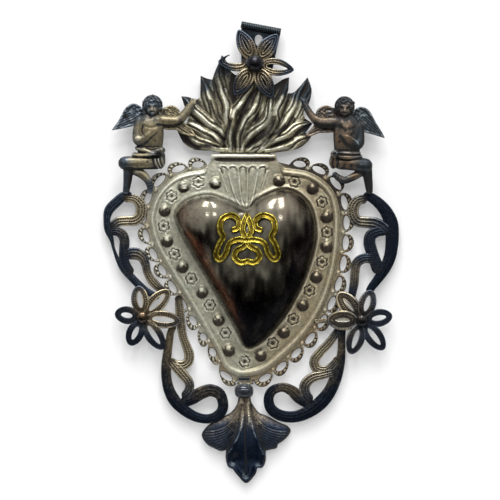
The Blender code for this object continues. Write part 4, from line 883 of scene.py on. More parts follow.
def gilt_strip(points, level):
    """One gilt curl, closed all round, on the dome."""
    line = evenly(smooth(points), 0.28)
    sides = left_of(line)
    distance = run_length(line)
    stations = len(line) - 1

    def place(s, t, is_front):
        """The strip's net, stood on the dome along its normals."""
        station = np.rint(s * stations).astype(int)
        end = np.minimum(distance[station], distance[-1] - distance[station])
        narrow = np.sqrt(np.clip(1 - (1 - np.clip(end / 1.4, 0, 1)) ** 2, 0.02, 1))
        spot = line[station] + sides[station] * (t * GILT_WIDTH / 2 * narrow)[:, None]
        x, y = spot[:, 0], spot[:, 1]
        edge = round_top((np.abs(t) - GILT_EDGE) / (1 - GILT_EDGE))
        bead = np.where(np.abs(t) > GILT_EDGE, edge, 0.42 + 0.58 * (np.abs(t) / GILT_EDGE) ** 2)
        lift = np.where(is_front, 0.25 + 0.75 * bead, 0.0) * GILT_THICKNESS
        surface = dome_surface(x, y)
        slope_x = (dome_surface(x + PROBE, y) - dome_surface(x - PROBE, y)) / (2 * PROBE)
        slope_y = (dome_surface(x, y + PROBE) - dome_surface(x, y - PROBE)) / (2 * PROBE)
        size = np.sqrt(slope_x ** 2 + slope_y ** 2 + 1)
        out = (GILT_GAP + level + lift) / size
        # The outermost sides of each strip are painted dark, as painted shadow round the curls.
        clean = np.where(is_front, 0.92 * bead - 0.06 - 0.7 * ridge(1 - np.abs(t), 0.1), 0.05)
        clean += 0.3 * speckle(x, y, 1.6, 30.0)
        return x - slope_x * out, y - slope_y * out, surface + out, clean, 0.6

    return bent_sheet(stations, *GILT_COLUMNS, place)


gilded = aged_metal("gilded_brass", ((104, 90, 24), (216, 200, 82)), ((124, 104, 28), (230, 214, 100)),
                    (30, 23, 9), 0.26, 0.4, 0.25)
strips = []
for curl in GILT_CURLS:
    for side in (1, -1):
        strips.append(gilt_strip([(GILT_AXIS + side * x, y) for x, y in curl], 0.05 * len(strips)))
piece("gilt_curls", strips, gilded, "gilt_ornament", angle=60)

# %% [markdown]
# ## Sheets cut to an outline
# Lace, flames, wings and the tab are sawn from sheet, so they start from an outline. A square net is laid
# over it, the cells outside are deleted, and the net's ragged border is drawn onto the outline. Extruding
# the net once gives the plate its back. The front can then be raised like any other relief, with even
# little cells that shade well, which a filled curve with its long thin triangles doesn't.

# %% Net inside an outline


def inside(x, y, rings):
    """Which spots lie inside the first ring and outside the others."""
    result = np.zeros(len(x), bool)
    for ring in rings:
        a, b = ring[:, :2], np.roll(ring[:, :2], -1, axis=0)
        for block in blocks(len(x)):
            px, py = x[block, None], y[block, None]
            spans = (a[:, 1] > py) != (b[:, 1] > py)
            slope = (b[:, 0] - a[:, 0]) / np.where(b[:, 1] == a[:, 1], 1e-9, b[:, 1] - a[:, 1])
            crossed = spans & (px < slope * (py - a[:, 1]) + a[:, 0])
            result[block] ^= crossed.sum(axis=1) % 2 == 1
    return result


def edge_distance(x, y, rings):
    """Distance of each spot to the nearest ring, and the nearest point there."""
    border = np.vstack([evenly(ring, 0.12, closed=True)[:, :2] for ring in rings])
    distance = np.empty(len(x))
    nearest = np.empty(len(x), int)
    for block in blocks(len(x), 1500):
        gaps = (x[block, None] - border[:, 0]) ** 2 + (y[block, None] - border[:, 1]) ** 2
        nearest[block] = gaps.argmin(axis=1)
        distance[block] = np.sqrt(gaps.min(axis=1))
    return distance, border[nearest]


def cut_sheet(rings, step, relief, back_depth):
    """A plate inside the rings, of cells of this step.

    relief(x, y, edge) gives the front's depth, cleanness and warmth. edge is the distance to the outline.
    back_depth is a number, or a function of x and y.
    """
    low_corner = rings[0][:, :2].min(axis=0) - step
    size = rings[0][:, :2].max(axis=0) + step - low_corner
    cells = np.ceil(size / step).astype(int)
    bm = bmesh.new()
    bmesh.ops.create_grid(bm, x_segments=int(cells[0]), y_segments=int(cells[1]), size=0.5)
    bmesh.ops.scale(bm, verts=bm.verts, vec=(*(cells * step), 1.0))
    bmesh.ops.translate(bm, verts=bm.verts, vec=(*(low_corner + cells * step / 2), 0.0))
    bm.faces.ensure_lookup_table()
    middles = np.array([face.calc_center_median()[:2] for face in bm.faces])
    keep = inside(middles[:, 0], middles[:, 1], rings)
    outer = [bm.faces[index] for index in np.flatnonzero(~keep)]
    bmesh.ops.delete(bm, geom=outer, context='FACES')
    while True:
        pinched = [vert for vert in bm.verts if sum(edge.is_boundary for edge in vert.link_edges) > 2]
        if not pinched:
            break
        loose = list({face for vert in pinched for face in vert.link_faces})
        bmesh.ops.delete(bm, geom=loose, context='FACES')
    rim = [vert for vert in bm.verts if vert.is_boundary]
    places = np.array([vert.co[:2] for vert in rim])
    for vert, spot in zip(rim, edge_distance(*places.T, rings)[1]):
        vert.co = (spot[0], spot[1], 0.0)
    made = bmesh.ops.extrude_face_region(bm, geom=bm.faces[:], use_keep_orig=True)
    front = [item for item in made["geom"] if isinstance(item, bmesh.types.BMVert)]
    bmesh.ops.translate(bm, verts=front, vec=(0.0, 0.0, 1.0))
    mesh, flat = as_mesh(bm, "sheet")
    x, y = flat[:, 0], flat[:, 1]
    is_front = flat[:, 2] > 0.5
    depth = np.full(len(x), back_depth(x, y) if callable(back_depth) else back_depth)
    clean = np.full(len(x), 0.4)
    warmth = np.full(len(x), 0.3)
    front_x, front_y = x[is_front], y[is_front]
    edge = edge_distance(front_x, front_y, rings)[0]
    depth[is_front], clean[is_front], warmth[is_front] = relief(front_x, front_y, edge)
    return closed_mesh(bm, mesh, on_wall(x, y, depth), np.clip(clean, 0, 1), np.clip(warmth, 0, 1))


def patina(x, y, spots, base=0.0):
    """Warmth from a few soft spots: x, y, radius and amount."""
    warmth = np.full(len(x), float(base))
    for a, b, radius, amount in spots:
        room = 1 - np.clip(warmth, 0, 1) if amount > base else 1
        warmth += (amount - base) * near_spot(x, y, a, b, radius) * room
    return np.clip(warmth, 0, 1)


# %% [markdown]
# ## The lace
# A row of pierced loops frames the heart. In each one a smooth thin rim runs outside, and little bars like
# the rungs of a ladder lie between the rim and the hole. Two beads fill each post. The loops follow the
# heart's rim, so their outline is worked out from the directions of their holes.

# %% Outline of the lace
LACE_LAP = 3.0
LACE_REACH = 7.3
LACE_DIP = 1.2
LACE_BAND = 2.5
LACE_INNER_BAND = 1.3
LACE_POST = 1.35
LOOP_NOTCH = 0.02
LOOP_SKEW = 1.25
TAIL_REACH = 4.3
TAIL_WIDTH = 9.4
SLOT_MIDDLE = np.array((-1.0, -64.6))
SLOT_SIZE = np.array((6.0, 1.6))
LACE_TONGUE = ((12.0, 45.0), (12.0, 57.0), (-13.0, 57.0), (-13.0, 45.0))
LACE_HOLES = (
    (-23.8, 42.2), (-33, 39.6), (-42, 33.7), (-47.9, 25.5), (-50.2, 16.6), (-49.3, 7), (-46, -2),
    (-41.2, -10), (-36, -18), (-31, -26.2), (-26, -34.6), (-21, -43), (-16.8, -52), (-9.8, -63),
    (9.4, -63.2), (17.4, -57.6), (24.6, -50.6), (31.2, -43), (37, -34.6), (41.6, -25.8), (45, -16.4),
    (47.6, -6.6), (49.2, 3.6), (49.6, 13.6), (48.2, 23.4), (43.8, 32.6), (36, 39.4), (26.9, 43),
)


def at_angle(angle, distance):
    """Drawn places in these directions and at these distances from the heart's middle."""
    return HEART_CENTRE + np.column_stack([np.cos(angle), np.sin(angle)]) * np.asarray(distance)[..., None]


def loop_arc(angle, before, after):
    """The outer edge of one loop, which leans a little where its neighbours stand unevenly."""
    share = np.linspace(-1, 1, 25)
    half = np.where(share < 0, min(before, LOOP_SKEW * after), min(after, LOOP_SKEW * before)) / 2
    turn = angle + share * half
    rise = LACE_DIP + (LACE_REACH - LACE_DIP) * np.sqrt(1 - share ** 2 * (1 - LOOP_NOTCH))
    return at_angle(turn, reach(border_rim, turn) + rise)


def tail_arc():
    """The straight end of the tail under the heart's tip."""
    middle = math.atan2(*(SLOT_MIDDLE - HEART_CENTRE)[::-1])
    half = math.asin(TAIL_WIDTH / 2 / (reach(border_rim, middle) + TAIL_REACH))
    turn = middle + np.linspace(-half, half, 9)
    return at_angle(turn, reach(border_rim, turn) + TAIL_REACH)


hole_offsets = np.array(LACE_HOLES) - HEART_CENTRE
loop_angles = np.unwrap(np.arctan2(hole_offsets[:, 1], hole_offsets[:, 0]))
loop_gaps = np.diff(loop_angles)
gap_before = np.append(loop_gaps[0], loop_gaps)
gap_after = np.append(loop_gaps, loop_gaps[-1])
half_way = len(LACE_HOLES) // 2
arcs = [loop_arc(*loop) for loop in zip(loop_angles, gap_before, gap_after)]
lace_edge = np.vstack([*arcs[:half_way], tail_arc(), *arcs[half_way:], LACE_TONGUE])
full_turn = ring_turns(240)
lace_inner = at_angle(full_turn, reach(border_rim, full_turn) - LACE_LAP)
print("lace:", len(LACE_HOLES), "loops")

# %% Holes of the lace
hole_depth = (LACE_REACH - LACE_BAND - LACE_INNER_BAND) / 2
hole_distance = reach(border_rim, loop_angles) + LACE_INNER_BAND + hole_depth
hole_middles = at_angle(loop_angles, hole_distance)
hole_lengths = np.minimum(gap_before, gap_after) * hole_distance / 2 - LACE_POST
ahead_spots = at_angle(loop_angles + 0.02, reach(border_rim, loop_angles + 0.02))
hole_ahead = ahead_spots - at_angle(loop_angles, reach(border_rim, loop_angles))
hole_ahead /= np.linalg.norm(hole_ahead, axis=1)[:, None]
hole_out = np.column_stack([hole_ahead[:, 1], -hole_ahead[:, 0]])


def lace_hole(index):
    """The outline of one hole: an oval that is a little flatter towards the heart."""
    turn = ring_turns(36)
    across = np.sin(turn) * np.where(np.sin(turn) < 0, 0.8, 1.0) * hole_depth
    run = np.cos(turn) * hole_lengths[index]
    return hole_middles[index] + run[:, None] * hole_ahead[index] + across[:, None] * hole_out[index]


corners = np.array(((-1, -1), (1, -1), (1, 1), (-1, 1)))
slot_ring = evenly(SLOT_MIDDLE + corners * SLOT_SIZE / 2, 0.4, closed=True)
lace_rings = [lace_edge, lace_inner, *map(lace_hole, range(len(LACE_HOLES))), slot_ring]
print("holes:", round(2 * hole_lengths.min(), 1), "to", round(2 * hole_lengths.max(), 1), "mm long")

# %% Rungs, rims and beads of the lace
RUNG_PITCH = 1.75
LACE_CELL = 0.32
BEAD_RADIUS = 0.95
POST_BEADS = (1.7, 3.7)


def post_beads():
    """Middles of the two beads on every post between loops. The tail has none."""
    middles = []
    for index in range(len(LACE_HOLES) - 1):
        if index != half_way - 1:
            turn = np.array([(loop_angles[index] + loop_angles[index + 1]) / 2])
            middles += [at_angle(turn, reach(border_rim, turn) + out)[0] for out in POST_BEADS]
    return middles


def lace_relief(x, y, edge):
    """Rungs, rim and beads of the lace."""
    spots = np.column_stack([x, y])
    offsets = spots[:, None] - hole_middles[None]
    run = (offsets * hole_ahead).sum(axis=2) / hole_lengths
    out = (offsets * hole_out).sum(axis=2) / hole_depth
    size = np.hypot(run, out)
    nearest = size.argmin(axis=1)
    row = np.arange(len(x))
    run, out, size = run[row, nearest], out[row, nearest], size[row, nearest]
    radius = (hole_lengths[nearest] + hole_depth) / 2
    gap = (size - 1) * radius
    turn = np.arctan2(out, run)
    rungs = np.round(2 * np.pi * (radius + 1.0) / RUNG_PITCH)
    rung = np.cos(turn * rungs)
    outward = step_up(out, -0.35, 0.3)
    band = step_up(gap, 0.05, 0.35) * step_up(2.1 - gap, 0.0, 0.35) * outward
    rim = ridge(edge - 0.35, 0.35)
    bar = step_up(rung, -0.95, -0.1)
    rise = 0.25 + 0.65 * band * bar + 0.25 * rim * step_up(gap, 1.2, 1.9)
    clean = 0.54 - 0.75 * band * (1 - bar) + 0.34 * band * step_up(rung, -0.2, 0.9)
    clean -= 0.4 * ridge(gap - 2.1, 0.2) * outward + 0.7 * ridge(edge, 0.32)
    clean -= 0.16 * step_up(x, 0, 25) + 0.38 * step_up(x, 12, 30) * step_up(y, 5, 32)
    for a, b in post_beads():
        r = np.hypot(x - a, y - b) / BEAD_RADIUS
        near = r < 1.4
        rise = np.where(near, np.maximum(rise, 0.35 + 0.45 * round_top(r)), rise)
        clean = np.where(near, 0.75 - 0.6 * ridge(r - 1.1, 0.25), clean)
    rise *= np.sqrt(np.clip(edge / 0.3, 0.1, 1))
    warmth = 0.25 + 0.35 * step_up(x, -10, 30) + 0.25 * step_up(-y, 30, 60)
    return FIRST_FRONT - 0.35 + rise, clean, warmth


lace_metal = aged_metal("lace_brass", ((164, 161, 142), (226, 224, 208)), ((140, 122, 92), (210, 196, 162)),
                        (40, 32, 24), 0.42, 0.5, 0.3, 9.0, 0.5)
lace_mesh = cut_sheet(lace_rings, LACE_CELL, lace_relief, 0.0)
piece("lace_pierced", [lace_mesh], lace_metal, "lace_gallery", angle=60)

# %% [markdown]
# ## The back plate
# A plain heart-shaped plate closes the hollow heart from behind. It shows only from the back, where it
# carries faint waves and a dull brown tarnish.

# %% Back plate
PLATE_CELL = 1.0
plate_edge = at_angle(full_turn, reach(border_rim, full_turn) - LACE_LAP - 0.3)


def plate_relief(x, y, edge):
    """Faint waves and an uneven tarnish."""
    waves = 0.04 * speckle(x, y, 12.0)
    return SHEET - 0.08 + waves, 0.5 + 0.2 * speckle(x, y, 6.0, 3.0), np.full(len(x), 0.5)


dull_brass = aged_metal("dull_brass", ((112, 104, 80), (158, 148, 116)), ((128, 106, 66), (176, 152, 102)),
                        (48, 38, 26), 0.45, 0.7, 0.5, 18.0)
back_mesh = cut_sheet([plate_edge], PLATE_CELL, plate_relief, 0.0)
piece("back_plate_filed", [back_mesh], dull_brass, "back_plate", angle=40)

# %% [markdown]
# ## The scrolls
# The openwork beside the heart is made of flat ribbons, each cast with rows of tiny beads between fine
# cords. A ribbon is a sheet bent along its drawn middle line. Its width comes with every drawn point, and
# its cross-section repeats: a smooth band on the outer side, then cords and beads in turn. The beads are
# one cosine along the ribbon, so a row of hundreds costs no more than a plain ridge. The outer spines of
# the scrolls are nearly plain, and those of the upper two have lost their gold.

# %% Cords and beads across a ribbon
BEAD_PITCH = 1.15
# For each count of bead rows: where the cords and the beads lie, and how coarse they are
PATTERNS = {
    3: ((-0.36, 0.14), (-0.61, -0.11, 0.4), 1.0),
    2: ((-0.02,), (-0.4, 0.34), 1.35),
    1: ((), (-0.08,), 2.0),
}
RIBBON_STEP = 0.19
RIBBON_COLUMNS = (30, 5)
SCROLL_CROWN = 0.62


def beaded(u, along, depth=1.0, rows=3):
    """Height and cleanness over a ribbon. u runs from -1, the inner edge, to 1, the smooth outer band."""
    cords, bead_rows, fine = PATTERNS[rows]
    rise = np.zeros(len(u))
    clean = np.full(len(u), 0.1)
    for cord in cords:
        rise += 0.34 * ridge(u - cord, 0.1 * fine)
        clean += 0.85 * ridge(u - cord, 0.085 * fine)
    for number, row in enumerate(bead_rows):
        bead = step_up(np.cos(2 * np.pi * (along / BEAD_PITCH + 0.37 * number)), -0.5, 0.7)
        rise += (0.34 * bead - 0.14) * ridge(u - row, 0.13 * fine)
        clean += (0.8 * bead - 0.2) * ridge(u - row, 0.12 * fine)
    band = round_top((u - 0.8) / (0.24 * fine ** 0.5))
    lip = round_top((u + 0.88) / (0.15 * fine ** 0.7))
    rise += 0.3 * band + 0.3 * lip
    clean += 0.72 * band + 0.8 * lip
    return rise * depth, 0.55 + (clean - 0.49) * depth


def ribbon(points, back, outer, plain, gold, base, lift=0.0, crown=SCROLL_CROWN, round_ends=True):
    """The mesh of a ribbon of sheet that lies along its drawn middle line.

    outer is the side of its smooth band, and plain hides the beads where it is 1. gold lists the patina's
    spots over their base, and lift makes the whole front cleaner.
    """
    line = evenly(smooth(points), RIBBON_STEP)
    sides = left_of(line)
    distance = run_length(line)
    stations = len(line) - 1

    def place(s, t, is_front):
        """The ribbon's net, arched across and rounded at its ends."""
        station = np.rint(s * stations).astype(int)
        half = line[station, 2] / 2
        gap = np.minimum(distance[station], distance[-1] - distance[station]) if round_ends else 99.0
        rounded = np.sqrt(np.clip(1 - (1 - np.clip(gap / half, 0, 1)) ** 2, 0.01, 1))
        x, y = (line[station, :2] + sides[station] * (t * half * rounded)[:, None]).T
        rise, clean = beaded(t * outer, distance[station], 1.0 - plain)
        soft = round_top(t)
        level = 0.55 * SHEET + 0.45 * SHEET * soft ** 0.5 + (crown - 0.3) * soft + rise * soft ** 0.4
        clean = clean + lift - 0.3 * step_up(3.5 - gap, 0.0, 3.0) - 0.3 * ridge(1 - np.abs(t), 0.05)
        depth = back + np.where(is_front, level, 0.0)
        return x, y, depth, np.where(is_front, clean, 0.35), patina(x, y, gold, base)

    return bent_sheet(stations, *RIBBON_COLUMNS, place)


print("bead patterns:", len(PATTERNS))

# %% Middle lines of the scrolls
# Each row is x, y and the ribbon's width
UPPER_LEFT = (
    ((-57, 27.6, 3.6), (-61, 27, 4.6), (-64.8, 23.9, 5), (-68.5, 20, 4.8), (-69.6, 15, 3.5),
     (-68.8, 10, 4), (-67.2, 5, 2.2), (-66, 0, 1.5), (-64, -5, 2.4), (-61, -9.5, 4), (-57, -14, 4),
     (-53, -18, 4), (-50, -20.5, 3.6), (-46.4, -22.4, 3.2), (-43.4, -24, 3)),
    ((-61.5, 26, 4.2), (-56, 25.6, 4.4), (-52.9, 22.8, 5.5), (-52.4, 19.6, 5.7), (-53.2, 16.6, 5.4),
     (-56, 14.7, 5.3), (-60, 14.5, 5), (-64, 14, 5), (-67.8, 11, 4.4)),
    ((-68.2, 9, 4), (-65, 9.4, 4.6), (-62.2, 8, 5), (-60.8, 5, 5), (-60.9, 1, 5), (-61, -3, 5),
     (-60.2, -7, 4.6), (-57, -12, 4)),
    ((-60.4, -3, 5), (-57.5, -1.9, 6), (-54.4, -2, 6), (-51.8, -3.7, 5.2), (-50.3, -7, 4.4),
     (-49.4, -11, 4), (-47.3, -15, 4.4), (-44, -18.5, 4.2), (-41.2, -20.6, 3.2)),
)
UPPER_RIGHT = (
    ((58.6, 27.4, 4), (62.2, 26.4, 4.8), (66, 23.8, 5.4), (69.8, 19.5, 6.2), (72.4, 14, 7),
     (73.1, 8, 6.8), (72.9, 2, 6.4), (71.8, -4, 6), (69.3, -9.5, 5.6), (66, -14.5, 4.6), (62.6, -19, 4),
     (61, -22, 3.4)),
    ((60.6, 25.4, 4.4), (56.2, 24.8, 5), (53.7, 21.5, 5.8), (53.8, 17.4, 5.6), (56, 14.4, 5.5),
     (60, 13.8, 5.8), (64.5, 13.3, 6), (68.5, 11, 6), (71.2, 8, 5.2)),
    ((70.6, 9.5, 4.6), (66.2, 9.2, 5), (62.6, 7.4, 5.8), (61.7, 4, 6), (62.6, 0, 6), (64, -4, 6),
     (65.4, -8, 6), (65.6, -12, 5)),
    ((64, -4.6, 4.6), (59, -4.2, 5), (55.4, -6.6, 5), (54.5, -11, 4.5), (54.2, -16, 4.5),
     (53.2, -21.5, 4), (52.6, -25.5, 3.4)),
)
LOWER_LEFT = (
    ((-35.8, -37.2, 3.4), (-37.6, -41, 3.6), (-38.5, -46, 4), (-39.4, -52, 4.5), (-39.9, -58, 5),
     (-39.8, -64, 5), (-38.5, -70, 5.5), (-35.5, -75.5, 6), (-31, -80, 5.5), (-25.5, -83.3, 5),
     (-19.5, -84.5, 4.7), (-14.5, -83, 5), (-11.7, -79.5, 5.2), (-11.8, -75, 5.3), (-13.8, -71.6, 5.8),
     (-18, -70.2, 6.2), (-22.5, -71.6, 6.4), (-27, -74.2, 6.4), (-32.5, -76.5, 5.4)),
    ((-33.6, -22.6, 4.6), (-33.6, -26, 3.8), (-33.2, -30, 4.4), (-32.6, -37, 4.5), (-31.6, -43, 4.2),
     (-29.8, -48, 4.5), (-28.4, -52.5, 5), (-29.2, -56.2, 5), (-32.6, -57.8, 4.8), (-37.4, -56.4, 4.4)),
    ((-38.4, -54.6, 4.4), (-34.4, -59.2, 5), (-31, -63, 5), (-28.4, -66.5, 4.6), (-28.6, -70, 4.6),
     (-31.5, -74, 4)),
)
LOWER_RIGHT = (
    ((48.6, -37.4, 3.2), (47.9, -42.6, 3.8), (47.8, -50, 4), (47, -56.5, 5), (45, -63.5, 6),
     (42, -70.5, 6.4), (37.5, -76.2, 7), (31.5, -80.8, 6.4), (24.5, -83.4, 5.8), (17.5, -82.8, 5.6),
     (12.6, -79.5, 5.4), (11.3, -74.5, 5), (13.2, -70.4, 4.8), (18, -68.7, 4.6), (22.5, -70.2, 5.4),
     (26.5, -73.6, 6.4), (32.5, -77, 6.4)),
    ((47, -37.2, 3.4), (45.4, -41, 3.8), (41.5, -46.5, 4.4), (37.2, -51, 4.5), (34.2, -55.4, 4.9),
     (35.3, -59.3, 4.9), (39.6, -60.2, 4.4), (43.3, -57.6, 3.8), (46.4, -53.6, 3.4)),
    ((45, -60.8, 4), (38.5, -62.5, 4.4), (33.2, -63.9, 5), (29.7, -67.2, 5.4), (29.6, -71.6, 5.2),
     (32.6, -76, 5)),
)

print("ribbons in the left scrolls:", len(UPPER_LEFT), "and", len(LOWER_LEFT))

# %% The four scrolls
LEVEL_STEP = 0.1
SPINE_LIFT = 0.13
GOLD_SPOTS = (
    (-54.5, 20, 9.5, 0.95), (-59, 15, 7, 0.7), (-60, 4, 5, 0.15), (-54, -3, 5, 0.5),
    (-47.5, -15, 8.5, 0.85), (-31, -48, 15, 0.95), (-33, -28, 9, 0.7), (-30, -60, 8, 0.6),
    (-20, -72, 9, 0.42), (53.5, 20, 7.5, 0.75), (61, 14, 5, 0.3), (54.5, -11, 7, 0.65),
    (37, -52, 10, 0.75), (34, -62, 9, 0.6), (20, -70, 9, 0.55), (45, -46, 6, 0.5),
)
# Each scroll: its ribbons, the side of each smooth band, and how plain each ribbon is
layouts = {
    "upper_left_scroll": (UPPER_LEFT, (-1, -1, -1, -1), (0.6, 0.05, 0.36, 0.1)),
    "upper_right_scroll": (UPPER_RIGHT, (1, 1, -1, 1), (0.66, 0.05, 0.4, 0.2)),
    "lower_left_scroll": (LOWER_LEFT, (-1, -1, 1), (0.62, 0.05, 0.05)),
    "lower_right_scroll": (LOWER_RIGHT, (1, -1, -1), (0.62, 0.05, 0.05)),
}
dark_metal = aged_metal("blue_black_brass", ((24, 31, 43), (90, 100, 112)), ((110, 99, 78), (208, 198, 170)),
                        (11, 10, 9), 0.38, 0.35, 0.25, 7.0, 0.92)
for name, (ribbons, outers, plains) in layouts.items():
    meshes = []
    for number, (points, outer, plain) in enumerate(zip(ribbons, outers, plains)):
        is_bare = number == 0 and "upper" in name
        gold = () if is_bare else GOLD_SPOTS
        lift = SPINE_LIFT if is_bare and "left" in name else 0.0
        meshes.append(ribbon(points, SECOND_BACK + LEVEL_STEP * number, outer, plain, gold, 0.03, lift))
    piece(name + "_beaded", meshes, dark_metal, name, angle=70)

# %% The bar of the right flower
BAR_LINE = ((34.6, -36.0, 2.6), (39.0, -35.4, 2.4), (44.0, -36.0, 2.6))
BAR_GOLD = ((39.0, -36.0, 8.0, 0.9),)
bar_mesh = ribbon(BAR_LINE, SECOND_BACK, 1, 0.4, BAR_GOLD, 0.5, crown=0.5, round_ends=False)
piece("rosette_bar_beaded", [bar_mesh], dark_metal, "right_rosette_bar", angle=70)

# %% [markdown]
# ## The flowers
# Three open flowers hold the scrolls together. A petal is a ribbon bent into a pointed loop, with the same
# cords and beads, and its far end rises and falls again. The six petals meet under a small ball that is
# riveted through the hub. One petal of the top flower is torn, so its loop ends early and grows narrow.

# %% Petals
SCROLL_FRONT = SECOND_FRONT + 0.8
THIRD_BACK = SCROLL_FRONT + 0.3
TOP_FLOWER_BACK = SECOND_FRONT + 1.6 + 0.3
PETAL_THICKNESS = 0.9
PETAL_ARCH = 1.4
PETAL_STATIONS = 230
PETAL_COLUMNS = (26, 4)
# Petals begin at this share of the hub's radius, and a loop runs this many times its petal's length
PETAL_ROOT = 0.45
PETAL_ROUND = 2.3


def petal(middle, row, hub, back, pointed, rows, gold, base):
    """A loop of ribbon round an open eye. A torn petal ends at its share of the loop."""
    direction, length, width, band, plain, torn = row
    turn = math.radians(direction)
    ahead = np.array((math.cos(turn), math.sin(turn)))
    side = np.array((-ahead[1], ahead[0]))
    inner = hub * PETAL_ROOT

    def place(s, t, is_front):
        """The petal's net, from the hub round the eye and back."""
        angle = s * torn * 2 * np.pi
        narrow = 1.0 if torn == 1 else 1 - 0.85 * step_up(s, 0.72, 1.0)
        inset = band * narrow * (1 - t) / 2
        share = (1 - np.cos(angle)) / 2
        run = inner + inset + (length - inner - 2 * inset) * share
        offset = np.sin(angle) * (width / 2 - inset) * (1 - share ** 3 * pointed)
        x, y = (np.array(middle) + run[:, None] * ahead + offset[:, None] * side).T
        arch = PETAL_ARCH * np.sin(np.pi * np.clip(run / length, 0, 1)) ** 2
        rise, clean = beaded(t, s * torn * PETAL_ROUND * (length - inner), 1.0 - plain, rows)
        soft = round_top(t)
        level = 0.45 * PETAL_THICKNESS + 0.35 * soft + rise * soft ** 0.4
        depth = back + arch + np.where(is_front, level, 0.0)
        clean = np.where(is_front, clean - 0.35 * ridge(1 - np.abs(t), 0.06), 0.35)
        border = step_up(t, 0.45, 0.6) * step_up(share, 0.35, 0.75) * (rows == 2)
        return x, y, depth, clean, patina(x, y, gold, base) * (1 - 0.9 * border)

    return bent_sheet(PETAL_STATIONS, *PETAL_COLUMNS, place, loop=torn == 1)


print("petals are", PETAL_THICKNESS, "mm thick")

# %% Hub and ball


def hub_disc(middle, radius, back, thickness):
    """The round plate under a flower's ball."""
    bm = bmesh.new()
    bmesh.ops.create_cone(bm, cap_ends=True, segments=40, radius1=radius, radius2=radius, depth=thickness)
    rims = [edge for edge in bm.edges if edge.calc_face_angle(0.0) > 1.0]
    bmesh.ops.bevel(bm, geom=rims, offset=0.2, segments=2, profile=0.5, affect='EDGES', material=-1)
    mesh, flat = as_mesh(bm, "hub")
    points = on_wall(flat[:, 0] + middle[0], flat[:, 1] + middle[1], flat[:, 2] + back + thickness / 2)
    return closed_mesh(bm, mesh, points, 0.3, 0.4)


def ball(middle, radius, seat, squash, pits, shank_back, warmth):
    """A hollow ball with tiny pits, cut flat where it sits, on its shank."""
    bm = bmesh.new()
    bmesh.ops.create_uvsphere(bm, u_segments=72, v_segments=40, radius=1.0)
    mesh, flat = as_mesh(bm, "ball")
    spread = (flat[:, 0] * radius, flat[:, 1] * radius + 3 * flat[:, 2])
    dents = 1 + pits * speckle(*spread, 1.1, middle[0])
    dents += 0.5 * pits * speckle(*spread, 0.5, middle[0] + 9)
    flat = flat * radius * np.minimum(dents, 1.0)[:, None]
    depth = np.maximum(flat[:, 2] * squash + 0.7 * radius * squash, 0.0) + seat
    # The pits are darker, and the ball is painted lighter and warmer towards its top, as painted light.
    clean = 0.5 + 0.3 * flat[:, 1] / radius + 3 * (dents - 1)
    points = on_wall(flat[:, 0] + middle[0], flat[:, 1] + middle[1], depth)
    head = closed_mesh(bm, mesh, points, np.clip(clean, 0, 1), warmth + 0.3 * flat[:, 1] / radius)
    return [head, hub_disc(middle, 0.9, shank_back, seat - shank_back + 0.2)]


print("lowest seat of a ball", round(THIRD_BACK + PETAL_THICKNESS, 1), "mm from the wall")

# %% Three flowers and their balls
# Each petal: direction in degrees, length, width, band, plainness and the share of its loop that is left
LEFT_PETALS = ((98, 16.0, 9.0, 3.2, 0.1, 1), (46, 19.0, 9.0, 3.2, 0.0, 1), (-6, 19.0, 9.0, 3.2, 0.0, 1),
               (-57, 19.0, 9.0, 3.2, 0.3, 1), (-115, 15.4, 9.0, 3.2, 0.5, 1), (172, 14.0, 9.0, 3.2, 0.5, 1))
RIGHT_PETALS = ((130.6, 18.4, 10.2, 4.7, 0.0, 1), (72.5, 16.0, 9.0, 3.2, 0.2, 1), (9, 15.4, 9.0, 3.2, 0.4, 1),
                (-52.6, 18.3, 9.0, 3.2, 0.3, 1), (-108.7, 17.7, 9.0, 3.2, 0.15, 1),
                (179, 17.4, 10.2, 4.7, 0.0, 1))
TOP_PETALS = ((115.5, 19.0, 9.2, 4.15, 0.05, 1), (53, 18.8, 9.2, 4.15, 0.05, 1),
              (-8.5, 19.7, 9.2, 3.3, 0.05, 1), (-62.6, 18.9, 9.2, 4.15, 0.05, 1),
              (-123.5, 18.5, 9.2, 4.15, 0.05, 1), (176, 18.3, 9.2, 4.15, 0.05, 0.7))
LEFT_GOLD = ((-43.0, -25.5, 9.0, 1.0), (-52.0, -26.0, 6.5, 0.8), (-40.0, -34.0, 8.0, 0.5),
             (-48.0, -33.0, 5.0, 0.7))
RIGHT_GOLD = ((46.0, -26.0, 9.0, 0.8), (60.0, -26.0, 7.0, 0.35), (48.0, -36.0, 8.0, 0.4),
              (53.0, -45.0, 6.0, 0.2))
TOP_GOLD = ((4.4, 92.7, 11.0, 1.0), (-3.0, 96.0, 5.0, 0.8), (12.0, 90.0, 6.0, 0.7), (0.0, 85.0, 5.0, 0.7))
TOP_MIDDLE = (4.4, 92.7)
PETAL_STEP = 0.06
# What the two side flowers share: back, hub, point, rows of beads and their own warmth
SIDE_FLOWER = (THIRD_BACK, 4.2, 0.12, 1, 0.05)
TOP_FLOWER = (TOP_FLOWER_BACK, 6.2, 0.45, 2, 0.1)
bronze_metal = aged_metal("bronze_brass", ((29, 37, 49), (92, 102, 115)), ((110, 96, 74), (208, 194, 162)),
                          (12, 10, 9), 0.38, 0.35, 0.25, 6.0, 0.9)
ball_metal = aged_metal("dark_ball_metal", ((38, 38, 42), (122, 122, 124)), ((96, 80, 60), (168, 148, 120)),
                        (12, 11, 10), 0.2, 0.4, 0.25, 5.0, 0.9)


